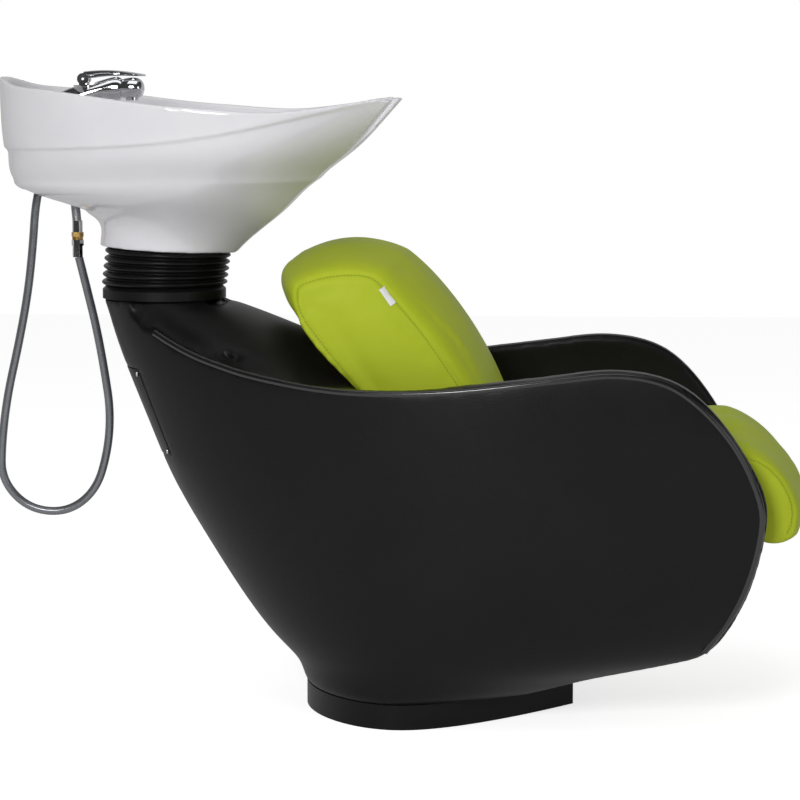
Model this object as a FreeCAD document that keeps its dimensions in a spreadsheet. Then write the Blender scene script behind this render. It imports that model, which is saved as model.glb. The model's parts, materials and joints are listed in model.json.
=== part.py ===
"""Salon backwash unit: a moulded seat shell on a steel base, with a ceramic wash bowl that tilts on its neck.

Frame: origin on the floor under the middle of the plinth, +X towards the sitter's knees, +Z up, mm.
"""
import FreeCAD
import Part
import Sketcher
import math
import os

V = FreeCAD.Vector
DOC = FreeCAD.newDocument("backwash_unit")
SHEET = DOC.addObject("Spreadsheet::Sheet", "Sizes")

SIZES = {
    # Plinth and base plate
    "plinth_height": 38, "plinth_rear": 205, "plinth_front": 208, "plinth_half_width": 211,
    "plinth_blunt": 16, "plinth_widest": 54, "plinth_margin": 3, "plinth_ledge": 46, "riser_height": 75,
    "plate_thickness": 16, "plate_margin": 16, "plate_clearance": 0.5,
    "anchor_spacing_x": 120, "anchor_spacing_y": 200, "anchor_hole_radius": 7,
    # Inner steel frame
    "post_radius": 16, "post_wall": 2.5, "post_spread": 104, "post_foot_offset": 80,
    "post_rise": 60, "post_bend_drop": 88, "post_bend_radius": 70, "post_overrun": 4, "post_shift": 14,
    "foot_length": 90, "foot_width": 64, "foot_thickness": 8, "foot_bolt_spacing": 66,
    "foot_bolt_radius": 4, "foot_bolt_head_radius": 7.5, "foot_bolt_head_height": 5.5,
    # Moulded shell
    "seat_side_gap": 22, "shell_front": 500, "shell_widest": 160, "shell_front_step": 3,
    "shell_wall": 8, "arm_thickness": 42, "arm_front_step": 13, "arm_swell": 33, "arm_low_rise": 177,
    "neck_offset": 430, "neck_radius": 94.5, "neck_rise": 81,
    "dome_depth": 156, "dome_run": 335, "dome_rear_run": 224, "dome_half_width": 255,
    "dome_wall": 16, "dome_margin": 1,
    "toe_start": 120, "flange_width": 40, "flange_thickness": 10, "cut_overrun": 60,
    "seat_floor": 345, "front_wall_inset": 70, "front_wall_slant": 100, "front_wall_drop": 270,
    "floor_skin": 10, "back_foot": -1, "back_skin": 10,
    "shell_bolt_radius": 4, "shell_bolt_head_radius": 7.5, "shell_bolt_head_height": 5.5,
    "shell_bolt_inset": 24,
    # Rear service panel
    "panel_height": 134, "panel_drop": 106, "panel_half_width": 78, "panel_thickness": 4,
    "panel_rebate": 14, "panel_clearance": 0.6, "panel_standoff": 130, "panel_depth": 170,
    "panel_screw_radius": 2, "panel_screw_head_radius": 4.5, "panel_screw_head_height": 2.2,
    "panel_screw_length": 7,
    # Upholstery
    "board_thickness": 15, "board_clearance": 0.4, "board_side_step": 38,
    "seat_rear": 80, "seat_bend_lead": 7, "seat_bend_radius": 38, "board_lip_drop": 33,
    "seat_half_width": 250, "seat_lip_drop": 12, "seat_overhang": 33, "seat_thickness": 82,
    "seat_crown_front": 29, "seat_crown_height": 31,
    "back_side_step": 40, "back_height": 372, "back_thickness": 131,
    "back_crown_front": 46, "back_crown_top": 40, "back_crown_rear": 24, "back_board_height": 310,
    "board_bolt_radius": 3, "board_bolt_head_radius": 6, "board_bolt_head_height": 4,
    "seat_bolt_spacing_x": 220, "seat_bolt_spacing_y": 300, "seat_bolt_inset": 180,
    "back_bolt_low": 70, "back_bolt_spacing": 110, "back_bolt_spacing_y": 260, "board_bolt_depth": 10,
    # Neck collar and bellows
    "collar_radius": 96, "collar_bore": 84, "collar_height": 19, "collar_round": 5,
    "bellows_radius": 98, "bellows_valley": 90, "bellows_wall": 2,
    "bellows_clearance": 0.3, "pleat_flat": 1,
    # Tilt hinge
    "tilt_rise": 36, "tilt_plate_radius": 78, "tilt_plate_bore": 52, "tilt_base_bore": 46,
    "tilt_plate_thickness": 6,
    "ear_thickness": 8, "ear_half_length": 15, "base_ear_inner": 58, "ear_gap": 1.5,
    "pin_radius": 6, "pin_fit": 0.05, "pin_head_radius": 10, "pin_head_height": 3, "clip_radius": 9.5,
    "clip_thickness": 1.5, "pin_tail": 4,
    # Ceramic bowl
    "bowl_foot_lead": 7, "bowl_foot_radius": 101, "bowl_foot_rise": 76, "bowl_foot_bore": 85,
    "bowl_rear_reach": 250, "bowl_front_reach": 390, "bowl_half_width": 250, "bowl_tip_step": 38,
    "bowl_height": 272, "rim_fall": 58,
    "bowl_foot_sink": 12, "band_step": 5, "band_front_step": 1, "basin_floor_radius": 50, "basin_front_wall": 22,
    "bowl_wall": 14, "deck_fall": 79, "deck_thickness": 14, "deck_length": 150,
    "hollow_wall": 13, "hollow_half_width": 70, "foot_depth": 21, "basin_thickness": 13,
    "notch_radius": 130, "notch_fall": 116, "notch_reach": 170,
    "head_bolt_circle": 64, "head_bolt_radius": 3, "head_bolt_head_radius": 5.5, "head_bolt_head_height": 4,
    "gasket_thickness": 3, "head_bolt_depth": 6,
    # Drain
    "drain_lead": 18, "drain_bore": 23, "drain_radius": 20, "drain_wall": 2.5, "drain_flange_radius": 36,
    "drain_flange_height": 3, "drain_length": 96, "drain_gasket_thickness": 2, "drain_nut_radius": 31,
    "drain_nut_height": 9, "drain_fit": 0.4, "drain_seat_radius": 30, "drain_seat_depth": 2,
    "strainer_radius": 27, "strainer_height": 7, "strainer_wall": 1.5, "strainer_hole_radius": 2.2,
    "strainer_ring": 17, "strainer_knob_radius": 5, "strainer_knob_height": 8,
    "strainer_clearance": 0.3,
    # Mixer
    "mixer_inset": 82, "mixer_radius": 25, "mixer_base_radius": 29, "mixer_base_height": 4,
    "mixer_hole_radius": 17, "shank_radius": 14, "shank_length": 62, "mixer_washer_radius": 26,
    "mixer_washer_thickness": 2, "mixer_nut_radius": 21, "mixer_nut_height": 8,
    "spout_reach": 105, "spout_rise": 55,
    "lever_lead": 46, "lever_seat_rise": 2, "lever_seat_radius": 17, "lever_pocket_radius": 19.5,
    "cartridge_radius": 12, "cartridge_height": 24, "inlet_radius": 4, "inlet_length": 26, "inlet_spread": 20,
    "carrier_radius": 16.5, "carrier_height": 2.6, "carrier_gap": 0.3, "tongue_thickness": 9,
    "lever_axis_rise": 12.5, "barrel_radius": 9, "barrel_half_length": 14, "tongue_radius": 7.5,
    "lever_gap": 0.4,
    "lever_pin_radius": 2, "lever_pin_fit": 0.04, "lever_reach": 95, "lever_rise": 12.5,
    "lever_thickness": 5, "lever_half_width": 11,
    # Pull-out spray
    "head_length": 34, "head_radius": 16.5, "head_gap": 0.4, "stem_radius": 6, "stem_fit": 0.06,
    "stem_length": 36, "nozzle_radius": 10, "nozzle_drop": 18.5, "nozzle_offset": 15, "face_radius": 8.5,
    "face_thickness": 2.5,
    # Hose and its fittings
    "hose_radius": 6.5, "braid_radius": 7, "ferrule_radius": 8, "ferrule_height": 18, "hex_across": 19,
    "hex_height": 7, "barrel_height": 5, "coupling_radius": 8.5, "coupling_nut_height": 9,
    "coupling_fall": 247, "coupling_lead": 32.5, "tail_bend": 72,
    "hose_shift": 8, "hose_rear_swing": 93.5, "hose_front_swing": 81, "hose_loop": 524, "hose_fall": 166,
}

# Sizes that follow from others
FOLLOWS = {
    # Heights, each over the piece it stands on
    "arm_low": "seat_floor + arm_low_rise",
    "arm_height": "arm_low + arm_swell",
    "neck_height": "arm_height + neck_rise",
    "post_bend_height": "neck_height - post_bend_drop",
    "post_top": "neck_height + post_overrun",
    "panel_high": "neck_height - panel_drop",
    "panel_low": "panel_high - panel_height",
    "seat_seam_height": "seat_floor + seat_thickness",
    "board_lip": "seat_floor - board_lip_drop",
    "seat_drop": "board_lip - seat_lip_drop",
    "tilt_height": "neck_height + tilt_rise",
    "bowl_foot_height": "neck_height + bowl_foot_rise",
    "foot_roof": "bowl_foot_height + foot_depth",
    "basin_floor": "foot_roof + basin_thickness",
    "bowl_top": "bowl_foot_height + bowl_height",
    "bowl_rim_low": "bowl_top - rim_fall",
    "deck_height": "bowl_top - deck_fall",
    "notch_low": "bowl_top - notch_fall",
    "spout_height": "deck_height + spout_rise",
    "lever_seat_height": "spout_height + lever_seat_rise",
    "lever_height": "lever_seat_height + lever_axis_rise",
    "coupling_top": "bowl_top - coupling_fall",
    "hose_high": "bowl_top - hose_fall",
    "hose_low": "hose_high - hose_loop",
    # Half widths
    "back_half_width": "seat_half_width - back_side_step",
    "board_half_width": "seat_half_width - board_side_step",
    "shell_half_width": "seat_half_width + seat_side_gap + arm_thickness",
    "shell_front_half": "shell_half_width - shell_front_step",
    "bowl_tip_half_width": "bowl_half_width - bowl_tip_step",
    # Places behind the origin
    "bowl_foot_offset": "neck_offset - bowl_foot_lead",
    "drain_offset": "neck_offset - drain_lead",
    "bowl_rear": "neck_offset + bowl_rear_reach",
    "bowl_front": "neck_offset - bowl_front_reach",
    "deck_front": "bowl_rear - deck_length",
    "basin_front": "bowl_front + basin_front_wall",
    "mixer_offset": "bowl_rear - mixer_inset",
    "lever_offset": "mixer_offset - lever_lead",
    "coupling_offset": "mixer_offset - coupling_lead",
    "hose_rear": "mixer_offset + hose_rear_swing",
    "hose_front": "mixer_offset - hose_front_swing",
    "panel_reach": "neck_offset + panel_standoff",
    # Places ahead of the origin
    "arm_front": "shell_front - arm_front_step",
    "front_wall_top": "shell_front - front_wall_inset",
    "front_wall_foot": "front_wall_top - front_wall_slant",
    "seat_bend_start": "front_wall_top + seat_bend_lead",
    "seat_seam_front": "shell_front + seat_overhang",
    "seat_bolt_middle": "front_wall_top - seat_bolt_inset",
}


class Measure:
    """A length with the sheet formula that gives it, so that sums stay bound to the sheet."""

    def __init__(self, value, text):
        self.value = value
        self.text = text

    def __float__(self):
        return float(self.value)

    def join(self, other, sign, value):
        return Measure(value, f"({self.text} {sign} {words(other)})")

    def __add__(self, other):
        return self.join(other, "+", self.value + float(other))

    def __sub__(self, other):
        return self.join(other, "-", self.value - float(other))

    def __rsub__(self, other):
        return Measure(float(other) - self.value, f"({words(other)} - {self.text})")

    def __mul__(self, other):
        return self.join(other, "*", self.value * float(other))

    def __truediv__(self, other):
        return self.join(other, "/", self.value / float(other))

    def __neg__(self):
        return Measure(-self.value, f"(0 - {self.text})")


def words(item):
    """The formula text of a measure or of a plain number."""
    return item.text if isinstance(item, Measure) else repr(item)


class Cells:
    """Every named size of the sheet as a measure."""


def fill_sheet():
    """Writes the sizes into the sheet and returns them as measures."""
    cells = Cells()
    rows = dict(SIZES)
    rows.update({name: f"={formula}" for name, formula in FOLLOWS.items()})
    for row, (name, value) in enumerate(rows.items(), 1):
        SHEET.set(f"A{row}", name)
        SHEET.setAlias(f"B{row}", name)
        SHEET.set(f"B{row}", str(value))
    DOC.recompute()
    for name in rows:
        setattr(cells, name, Measure(float(SHEET.get(name)), f"Sizes.{name}"))
    return cells


C = fill_sheet()
S = SHEET
NODES = []
AXES = {"z": V(0, 0, 1), "x": V(1, 0, 0), "y": V(0, 1, 0)}
FULL_TURN = 360
QUARTER_TURN = 90
BACK_LEAN_DEGREES = 34.1
FOOT_TILT_DEGREES = 2.9
BELLOWS_PLEATS = 5
STRAINER_HOLES = 10


# Document helpers

def keep(item, label):
    """Names a finished sub-part, which is then written to its own file."""
    item.Label = label
    NODES.append(item)
    return item


def bind(item, **measures):
    """Binds properties of an object to formulas of the sheet."""
    for name, measure in measures.items():
        item.setExpression(name.replace("__", "."), words(measure))
    return item


def place(item, x, y, z, axis="z"):
    """Puts an object at a bound place with its own Z axis along one of the frame's axes."""
    turn = FreeCAD.Rotation(AXES["z"], AXES[axis])
    item.Placement = FreeCAD.Placement(V(float(x), float(y), float(z)), turn)
    return bind(item, Placement__Base__x=x, Placement__Base__y=y, Placement__Base__z=z)


def cylinder(name, radius, height, x, y, z, axis="z"):
    item = DOC.addObject("Part::Cylinder", name)
    bind(item, Radius=radius, Height=height)
    return place(item, x, y, z, axis)


def box(name, length, width, height, x, y, z):
    """A box centred on x and y that stands on z."""
    item = DOC.addObject("Part::Box", name)
    bind(item, Length=length, Width=width, Height=height)
    return place(item, x - length / 2, y - width / 2, z)


def hexagon(name, across_corners, height, x, y, z, axis="z"):
    item = DOC.addObject("Part::Prism", name)
    item.Polygon = 6
    bind(item, Circumradius=across_corners, Height=height)
    return place(item, x, y, z, axis)


def fuse(name, *pieces):
    item = DOC.addObject("Part::MultiFuse", name)
    item.Shapes = list(pieces)
    return item


def cut(name, base, *tools):
    item = DOC.addObject("Part::Cut", name)
    item.Base = base
    item.Tool = tools[0] if len(tools) == 1 else fuse(name + "_tools", *tools)
    return item


def group(name, pieces):
    """Equal pieces that stay separate solids in one node."""
    item = DOC.addObject("Part::Compound", name)
    item.Links = list(pieces)
    return item


def solid(label, shape):
    """A free-form sub-part whose shape is worked out from the sheet's sizes."""
    item = DOC.addObject("Part::Feature", label)
    item.Shape = shape.removeSplitter() if shape.ShapeType != "Compound" else shape
    item.Placement = FreeCAD.Placement()
    return keep(item, label)


def own_plane(body, role):
    return [plane for plane in body.Origin.OriginFeatures if plane.Role == role][0]


def outline_sketch(body, name, role, points):
    """A closed outline of lines whose corners are bound to the sheet."""
    sketch = body.newObject("Sketcher::SketchObject", name)
    sketch.AttachmentSupport = (own_plane(body, role), [""])
    sketch.MapMode = "FlatFace"
    corners = [V(float(a), float(b), 0) for a, b in points]
    for first, second in zip(corners, corners[1:] + corners[:1]):
        sketch.addGeometry(Part.LineSegment(first, second), False)
    for index in range(len(corners)):
        after = (index + 1) % len(corners)
        sketch.addConstraint(Sketcher.Constraint("Coincident", index, 2, after, 1))
    for index, corner in enumerate(points):
        for kind, measure in zip(("DistanceX", "DistanceY"), corner):
            rule = sketch.addConstraint(Sketcher.Constraint(kind, -1, 1, index, 1, float(measure)))
            if isinstance(measure, Measure):
                sketch.setExpression(f"Constraints[{rule}]", measure.text)
    return sketch


def turned(name, profile, x, y, z, axis="z"):
    """A body turned about its own Z axis from radius and height pairs."""
    body = DOC.addObject("PartDesign::Body", name)
    sketch = outline_sketch(body, name + "_profile", "XZ_Plane", profile)
    turn = body.newObject("PartDesign::Revolution", name + "_turn")
    turn.Profile = sketch
    turn.ReferenceAxis = (sketch, ["V_Axis"])
    turn.Angle = FULL_TURN
    return place(body, x, y, z, axis)


def bolt(name, radius, length, head_radius, head_height, x, y, z, drives="down"):
    """A hexagon bolt whose head seats at z and whose shank runs down or up from there."""
    if drives == "down":
        head = hexagon(name + "_head", head_radius, head_height, x, y, z)
        shank = cylinder(name + "_shank", radius, length, x, y, z - length)
    else:
        head = hexagon(name + "_head", head_radius, head_height, x, y, z - head_height)
        shank = cylinder(name + "_shank", radius, length, x, y, z)
    return fuse(name, head, shank)


# Free-form helpers

def bezier(*poles):
    curve = Part.BezierCurve()
    curve.setPoles(list(poles))
    return curve.toShape()


def line(first, second):
    return Part.LineSegment(first, second).toShape()


def arc(first, middle, last):
    return Part.Arc(first, middle, last).toShape()


def loft(wires, ruled=False):
    return Part.makeLoft(wires, True, ruled)


def side_prism(points, half_width):
    """A slab across the unit from an outline of (x, z) corners."""
    corners = [V(x, -half_width, z) for x, z in points]
    face = Part.Face(Part.makePolygon(corners + corners[:1]))
    return face.extrude(V(0, half_width * 2, 0))


def plan_wire(z, rear, widest, half, front, front_half, rear_share, front_share):
    """A plan outline: two quarter curves meet at the rear, two sides run to a blunt front."""
    run = widest - rear
    pull = widest + front_share * (front - widest)
    return Part.Wire([
        bezier(V(front, -front_half, z), V(pull, -half, z), V(widest, -half, z)),
        bezier(V(widest, -half, z), V(widest - rear_share * run, -half, z),
               V(rear, -rear_share * half, z), V(rear, 0, z)),
        bezier(V(rear, 0, z), V(rear, rear_share * half, z),
               V(widest - rear_share * run, half, z), V(widest, half, z)),
        bezier(V(widest, half, z), V(pull, half, z), V(front, front_half, z)),
        line(V(front, front_half, z), V(front, -front_half, z)),
    ])


def ring_wire(centre, normal, radius):
    return Part.Wire(Part.makeCircle(radius, centre, normal))


# Plinth, base plate and inner frame

BASE_FRONT_SHARE = 0.34
BASE_REAR_SHARE = 0.5


def base_wire(z, grow):
    """The egg outline of the base, grown or shrunk all round."""
    return plan_wire(z, -S.plinth_rear - grow, -S.plinth_widest, S.plinth_half_width + grow,
                     S.plinth_front + grow, max(S.plinth_blunt + grow, S.plinth_blunt / 2),
                     BASE_REAR_SHARE, BASE_FRONT_SHARE)


def base_slab(low, high, grow):
    return Part.Face(base_wire(low, grow)).extrude(V(0, 0, high - low))


def anchor_places():
    return [V(x * S.anchor_spacing_x / 2, y * S.anchor_spacing_y / 2, 0) for x in (-1, 1) for y in (-1, 1)]


SHELL_BOLT_PLACES_SHARES = [(-0.86, 0.0), (-0.52, 0.66), (-0.52, -0.66), (0.3, 0.63), (0.3, -0.63), (0.82, 0.0)]


def shell_bolt_places():
    """Bolts stand in the flange, a set inset from the base's outline."""
    reach = S.plinth_front - S.shell_bolt_inset
    spread = S.plinth_half_width - S.shell_bolt_inset
    return [(x * reach, y * spread) for x, y in SHELL_BOLT_PLACES_SHARES]


def make_base():
    pocket = base_slab(0, S.plate_thickness, S.plate_clearance - S.plate_margin)
    middle = base_slab(0, S.riser_height, -S.plinth_ledge)
    riser = base_slab(S.plinth_height, S.riser_height, -S.plinth_margin * 2).cut(shell_form())
    plinth = base_slab(0, S.plinth_height, S.plinth_margin).fuse(riser).cut(pocket).cut(middle)
    plate = base_slab(0, S.plate_thickness, -S.plate_margin)
    for spot in anchor_places():
        plate = plate.cut(Part.makeCylinder(S.anchor_hole_radius, S.plate_thickness, spot))
    for x, y in shell_bolt_places():
        hole = Part.makeCylinder(S.shell_bolt_radius, S.plinth_height, V(x, y, 0))
        plinth = plinth.cut(hole)
        plate = plate.cut(hole)
    for y in (-1, 1):
        for x in (-1, 1):
            spot = V(x * S.foot_bolt_spacing / 2 - S.post_foot_offset, y * S.post_spread / 2, 0)
            plate = plate.cut(Part.makeCylinder(S.foot_bolt_radius, S.plate_thickness, spot))
    solid("plinth", plinth)
    solid("floor_plate", plate)


def post_tube(side):
    """A tube that rises from its foot, leans back inside the shell and ends upright under the neck."""
    y = side * S.post_spread / 2
    foot = V(-S.post_foot_offset, y, S.plate_thickness + S.foot_thickness)
    knee = V(-S.post_foot_offset, y, S.plate_thickness + S.foot_thickness + S.post_rise)
    shoulder = V(S.post_shift - S.neck_offset, y, S.post_bend_height)
    top = V(S.post_shift - S.neck_offset, y, S.post_top)
    path = bent_wire([foot, knee, shoulder, top], [S.post_bend_radius, S.post_bend_radius])
    outer = sweep_circle(path, foot, AXES["z"], S.post_radius)
    return outer.cut(sweep_circle(path, foot, AXES["z"], S.post_radius - S.post_wall))


def sweep_circle(path, start, direction, radius):
    return path.makePipeShell([ring_wire(start, direction, radius)], True, False)


def bent_wire(points, radii):
    """Straight runs between points, joined by tangent arcs of the given radii."""
    edges = []
    start = points[0]
    for before, corner, after, radius in zip(points, points[1:], points[2:], radii):
        back = (before - corner).normalize()
        ahead = (after - corner).normalize()
        half = back.getAngle(ahead) / 2
        reach = radius / math.tan(half)
        bisector = (back + ahead).normalize()
        middle = corner + bisector * (radius / math.sin(half) - radius)
        edges.append(line(start, corner + back * reach))
        edges.append(arc(corner + back * reach, middle, corner + ahead * reach))
        start = corner + ahead * reach
    edges.append(line(start, points[-1]))
    return Part.Wire(edges)


def make_frame():
    solid("frame_posts", Part.makeCompound([post_tube(-1), post_tube(1)]))
    feet = []
    bolts = []
    top = C.plate_thickness + C.foot_thickness
    for side, word in ((-1, "near"), (1, "far")):
        y = C.post_spread * side / 2
        x = -C.post_foot_offset
        plate = box(f"foot_{word}_plate", C.foot_length, C.foot_width, C.foot_thickness, x, y, C.plate_thickness)
        holes = []
        for end, name in ((-1, "rear"), (1, "front")):
            spot = x + C.foot_bolt_spacing * end / 2
            title = f"foot_{word}_{name}"
            holes.append(cylinder(title + "_hole", C.foot_bolt_radius, C.foot_thickness, spot, y,
                                  C.plate_thickness))
            bolts.append(bolt(title + "_bolt", C.foot_bolt_radius, top, C.foot_bolt_head_radius,
                              C.foot_bolt_head_height, spot, y, top))
        feet.append(cut(f"foot_{word}", plate, *holes))
    keep(group("feet", feet), "post_feet")
    keep(group("foot_bolt_set", bolts), "foot_bolts")


# Moulded shell

# Each row of the hull: height, rear, widest place, half width, front, front half width, roundness
HULL_SHARES = [
    (0.0, 0.0, 0.0, 0.0, 0.0, 0.0, 0.5),
    (0.0535, 0.05, 0.122, 0.234, 0.42, 0.356, 0.5),
    (0.1204, 0.166, 0.317, 0.44, 0.727, 0.623, 0.5),
    (0.2375, 0.335, 0.561, 0.72, 1.0, 0.811, 0.5),
    (0.388, 0.513, 0.805, 0.907, 1.0, 0.947, 0.5),
    (0.53, 0.664, 0.951, 0.98, 1.0, 0.989, 0.5),
    (0.672, 0.777, 1.0, 1.0, 1.0, 1.0, 0.5),
    (0.806, 0.877, 1.0, 0.98, 1.0, 0.996, 0.5),
    (0.923, 0.954, 1.0, 0.87, 1.0, 0.961, 0.5),
    (1.0, 1.0, 1.0, 0.73, 1.0, 0.907, 0.5),
]

# The rim from the neck down to its low point: behind the origin, height above the low point
NECK_RIM_SHARES = [(1.06, 1.0), (0.955, 1.0), (0.894, 0.91), (0.829, 0.69), (0.736, 0.447), (0.553, 0.184),
                   (0.376, 0.044), (0.232, 0.0)]
# The arm's top: ahead of the origin, height above the low point
ARM_TOP_SHARES = [(-0.098, 0.03), (0.052, 0.18), (0.201, 0.44), (0.379, 0.757), (0.527, 1.0), (0.616, 0.91)]
# The arm's front edge down to its foot: ahead of the origin, height over the arm's height
ARM_FRONT_SHARES = [(0.734, 0.964), (0.853, 0.876), (0.942, 0.764), (0.999, 0.64), (0.998, 0.586),
                    (0.979, 0.492), (0.953, 0.407), (0.912, 0.321), (0.84, 0.225), (0.784, 0.196)]

# Each row of the dome between neck and backrest: depth, front, rear, half width
DOME_SHARES = [(0.0, 0.0, 0.0, 0.0), (0.167, 0.21, 0.154, 0.146), (0.295, 0.355, 0.287, 0.283),
               (0.397, 0.466, 0.42, 0.408), (0.583, 0.657, 0.777, 0.626), (0.776, 0.82, 0.866, 0.875),
               (1.0, 1.0, 1.0, 1.0)]
ROUND_SHARE = 0.5523


def between(low, high, share):
    return low + share * (high - low)


def hull(side_inset, rear_inset, front_grow, rows=HULL_SHARES):
    """The outer form of the shell, or the same form drawn in by a wall."""
    neck_rear = S.neck_offset + S.neck_radius
    wires = []
    for height, rear, widest, half, front, front_half, roundness in rows:
        blunt = between(S.plinth_blunt, S.shell_front_half, front_half)
        wires.append(plan_wire(
            between(S.plinth_height, S.neck_height, height),
            rear_inset - between(S.plinth_rear, neck_rear, rear),
            between(-S.plinth_widest, S.shell_widest, widest),
            between(S.plinth_half_width, S.shell_half_width, half) - side_inset,
            between(S.plinth_front, S.shell_front, front) + front_grow,
            max(blunt - side_inset, S.plinth_blunt / 2), roundness, BASE_FRONT_SHARE))
    return loft(wires)


def dome(inset):
    """The convex top between the neck and the backrest, over the sunken side rims."""
    wires = []
    for depth, front, rear, half in DOME_SHARES:
        head = S.neck_radius - S.neck_offset + front * S.dome_run - inset
        tail = -S.neck_offset - S.neck_radius + rear * S.dome_rear_run + min(inset, S.shell_wall)
        middle = (head + tail) / 2
        width = between(S.neck_radius, S.dome_half_width, half) - inset
        if depth == 0:
            width = S.neck_radius - max(min(inset, S.shell_wall), S.dome_margin)
            head = width - S.neck_offset
            middle = -S.neck_offset
            tail = -S.neck_offset - width
        wires.append(round_wire(S.neck_height - depth * S.dome_depth, tail, middle, width, head))
    return loft(wires)


def round_wire(z, rear, middle, half, front):
    """A closed oval of four quarter curves."""
    spots = [V(rear, 0, z), V(middle, half, z), V(front, 0, z), V(middle, -half, z)]
    edges = []
    for index, first in enumerate(spots):
        last = spots[(index + 1) % len(spots)]
        corner = V(first.x, last.y, z) if index % 2 == 0 else V(last.x, first.y, z)
        edges.append(bezier(first, first + (corner - first) * ROUND_SHARE,
                            last + (corner - last) * ROUND_SHARE, last))
    return Part.Wire(edges)


def side_view_slab():
    """A slab bounded above and in front by the rim, and below by the rising underside."""
    neck_rear = S.neck_offset + S.neck_radius
    half = S.shell_half_width + S.cut_overrun
    rim = [V(-x * neck_rear, -half, between(S.arm_low, S.neck_height, z)) for x, z in NECK_RIM_SHARES]
    rim += [V(x * S.arm_front, -half, between(S.arm_low, S.arm_height, z)) for x, z in ARM_TOP_SHARES]
    rim += [V(x * S.arm_front, -half, z * S.arm_height) for x, z in ARM_FRONT_SHARES]
    curve = Part.BSplineCurve()
    curve.interpolate(rim[2:])
    toe = V(S.toe_start, -half, S.plinth_height)
    heel = V(-neck_rear - S.cut_overrun, -half, S.plinth_height)
    corner = V(-neck_rear - S.cut_overrun, -half, S.neck_height)
    shoulder = V(rim[2].x, -half, S.neck_height)
    edges = [curve.toShape(), line(rim[-1], toe), line(toe, heel), line(heel, corner), line(corner, shoulder),
             line(shoulder, rim[2])]
    return Part.Face(Part.Wire(edges)).extrude(V(0, half * 2, 0))


def back_point(up, out):
    """A point of the backrest's own frame: up along the lean, out from the shell's back wall."""
    lean = math.radians(BACK_LEAN_DEGREES)
    return (-S.back_foot - up * math.sin(lean) + out * math.cos(lean),
            S.seat_floor + up * math.cos(lean) + out * math.sin(lean))


def seat_cavity():
    """The space between the arms, over the seat floor and in front of the back and front walls."""
    far = S.shell_front + S.cut_overrun * 2
    high = back_point(S.neck_height, 0)
    foot_z = S.seat_floor - S.front_wall_drop
    points = [high, back_point(0, 0), (S.front_wall_top, S.seat_floor), (S.front_wall_foot, foot_z),
              (S.front_wall_foot, 0), (far, 0), (far, high[1])]
    inside = hull(S.arm_thickness, 0, S.cut_overrun, HULL_SHARES[1:])
    return inside.common(side_prism(points, S.shell_half_width))


def inner_void():
    """The hollow inside the shell, open at the neck and through the bottom flange."""
    low = S.plinth_height + S.flange_thickness
    top = S.seat_floor - S.floor_skin
    rear = -S.neck_offset - S.neck_radius
    foot_z = S.seat_floor - S.front_wall_drop
    slope = (S.front_wall_top - S.front_wall_foot) / S.front_wall_drop
    front_low = S.front_wall_foot - S.floor_skin * 2 - slope * (foot_z - low)
    wall_foot = back_point(-S.floor_skin, -S.back_skin)
    wall_top = back_point(S.neck_height, -S.back_skin)
    points = [(rear, low), (front_low, low), (S.front_wall_top - S.floor_skin * 2, top), (wall_foot[0], top),
              wall_top, (rear, wall_top[1])]
    under_rim = side_view_slab()
    under_rim.translate(V(0, 0, -S.dome_wall))
    room = hull(S.shell_wall, S.shell_wall, 0)
    lower = room.common(side_prism(points, S.shell_half_width)).common(under_rim)
    behind = [(rear, S.seat_floor), (wall_foot[0], S.seat_floor), wall_top, (rear, wall_top[1])]
    upper = dome(S.dome_wall).common(side_prism(behind, S.shell_half_width)).common(room)
    mouth = base_slab(S.plinth_height, low, -S.flange_width)
    return lower.fuse([upper, mouth, post_room(-1), post_room(1)])


def post_room(side):
    """The room round a post's upright end, where the sunken rim comes close."""
    low = V(S.post_shift - S.neck_offset, side * S.post_spread / 2, S.post_bend_height)
    return Part.makeCylinder(S.post_radius + S.post_wall * 2, S.neck_height - S.post_bend_height, low)


def panel_box(shrink):
    size = V(S.panel_depth, (S.panel_half_width - shrink) * 2, S.panel_high - S.panel_low - shrink * 2)
    corner = V(-S.panel_reach, shrink - S.panel_half_width, S.panel_low + shrink)
    return Part.makeBox(size.x, size.y, size.z, corner)


def panel_screw_places():
    """Screws stand half way into the rebate, near the panel's corners."""
    inset = S.panel_rebate / 2
    middle = (S.panel_low + S.panel_high) / 2
    rise = (S.panel_high - S.panel_low) / 2 - inset
    spread = S.panel_half_width - inset
    return [(y * spread, middle + z * rise) for y in (-1, 1) for z in (-1, 1)]


def skin_hit(skin, y, z):
    """Where a level line along +X first meets a skin."""
    ray = line(V(-S.panel_reach, y, z), V(-S.panel_reach + S.panel_depth, y, z))
    vertex = min(skin.section(ray).Vertexes, key=lambda item: item.X)
    return vertex.Point


def panel_screws(skin):
    screws = []
    for y, z in panel_screw_places():
        spot = skin_hit(skin, y, z)
        inward = V(1, -y / S.panel_reach, 0).normalize()
        head = Part.makeCylinder(S.panel_screw_head_radius, S.panel_screw_head_height, spot - inward *
                                 (S.panel_screw_head_height / 2), inward)
        shank = Part.makeCylinder(S.panel_screw_radius, S.panel_screw_length, spot, inward)
        screws.append(head.fuse(shank))
    return screws


def shell_form():
    """The hull trimmed to its rim, its front edges and its rising underside."""
    return hull(0, 0, 0).common(side_view_slab())


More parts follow.
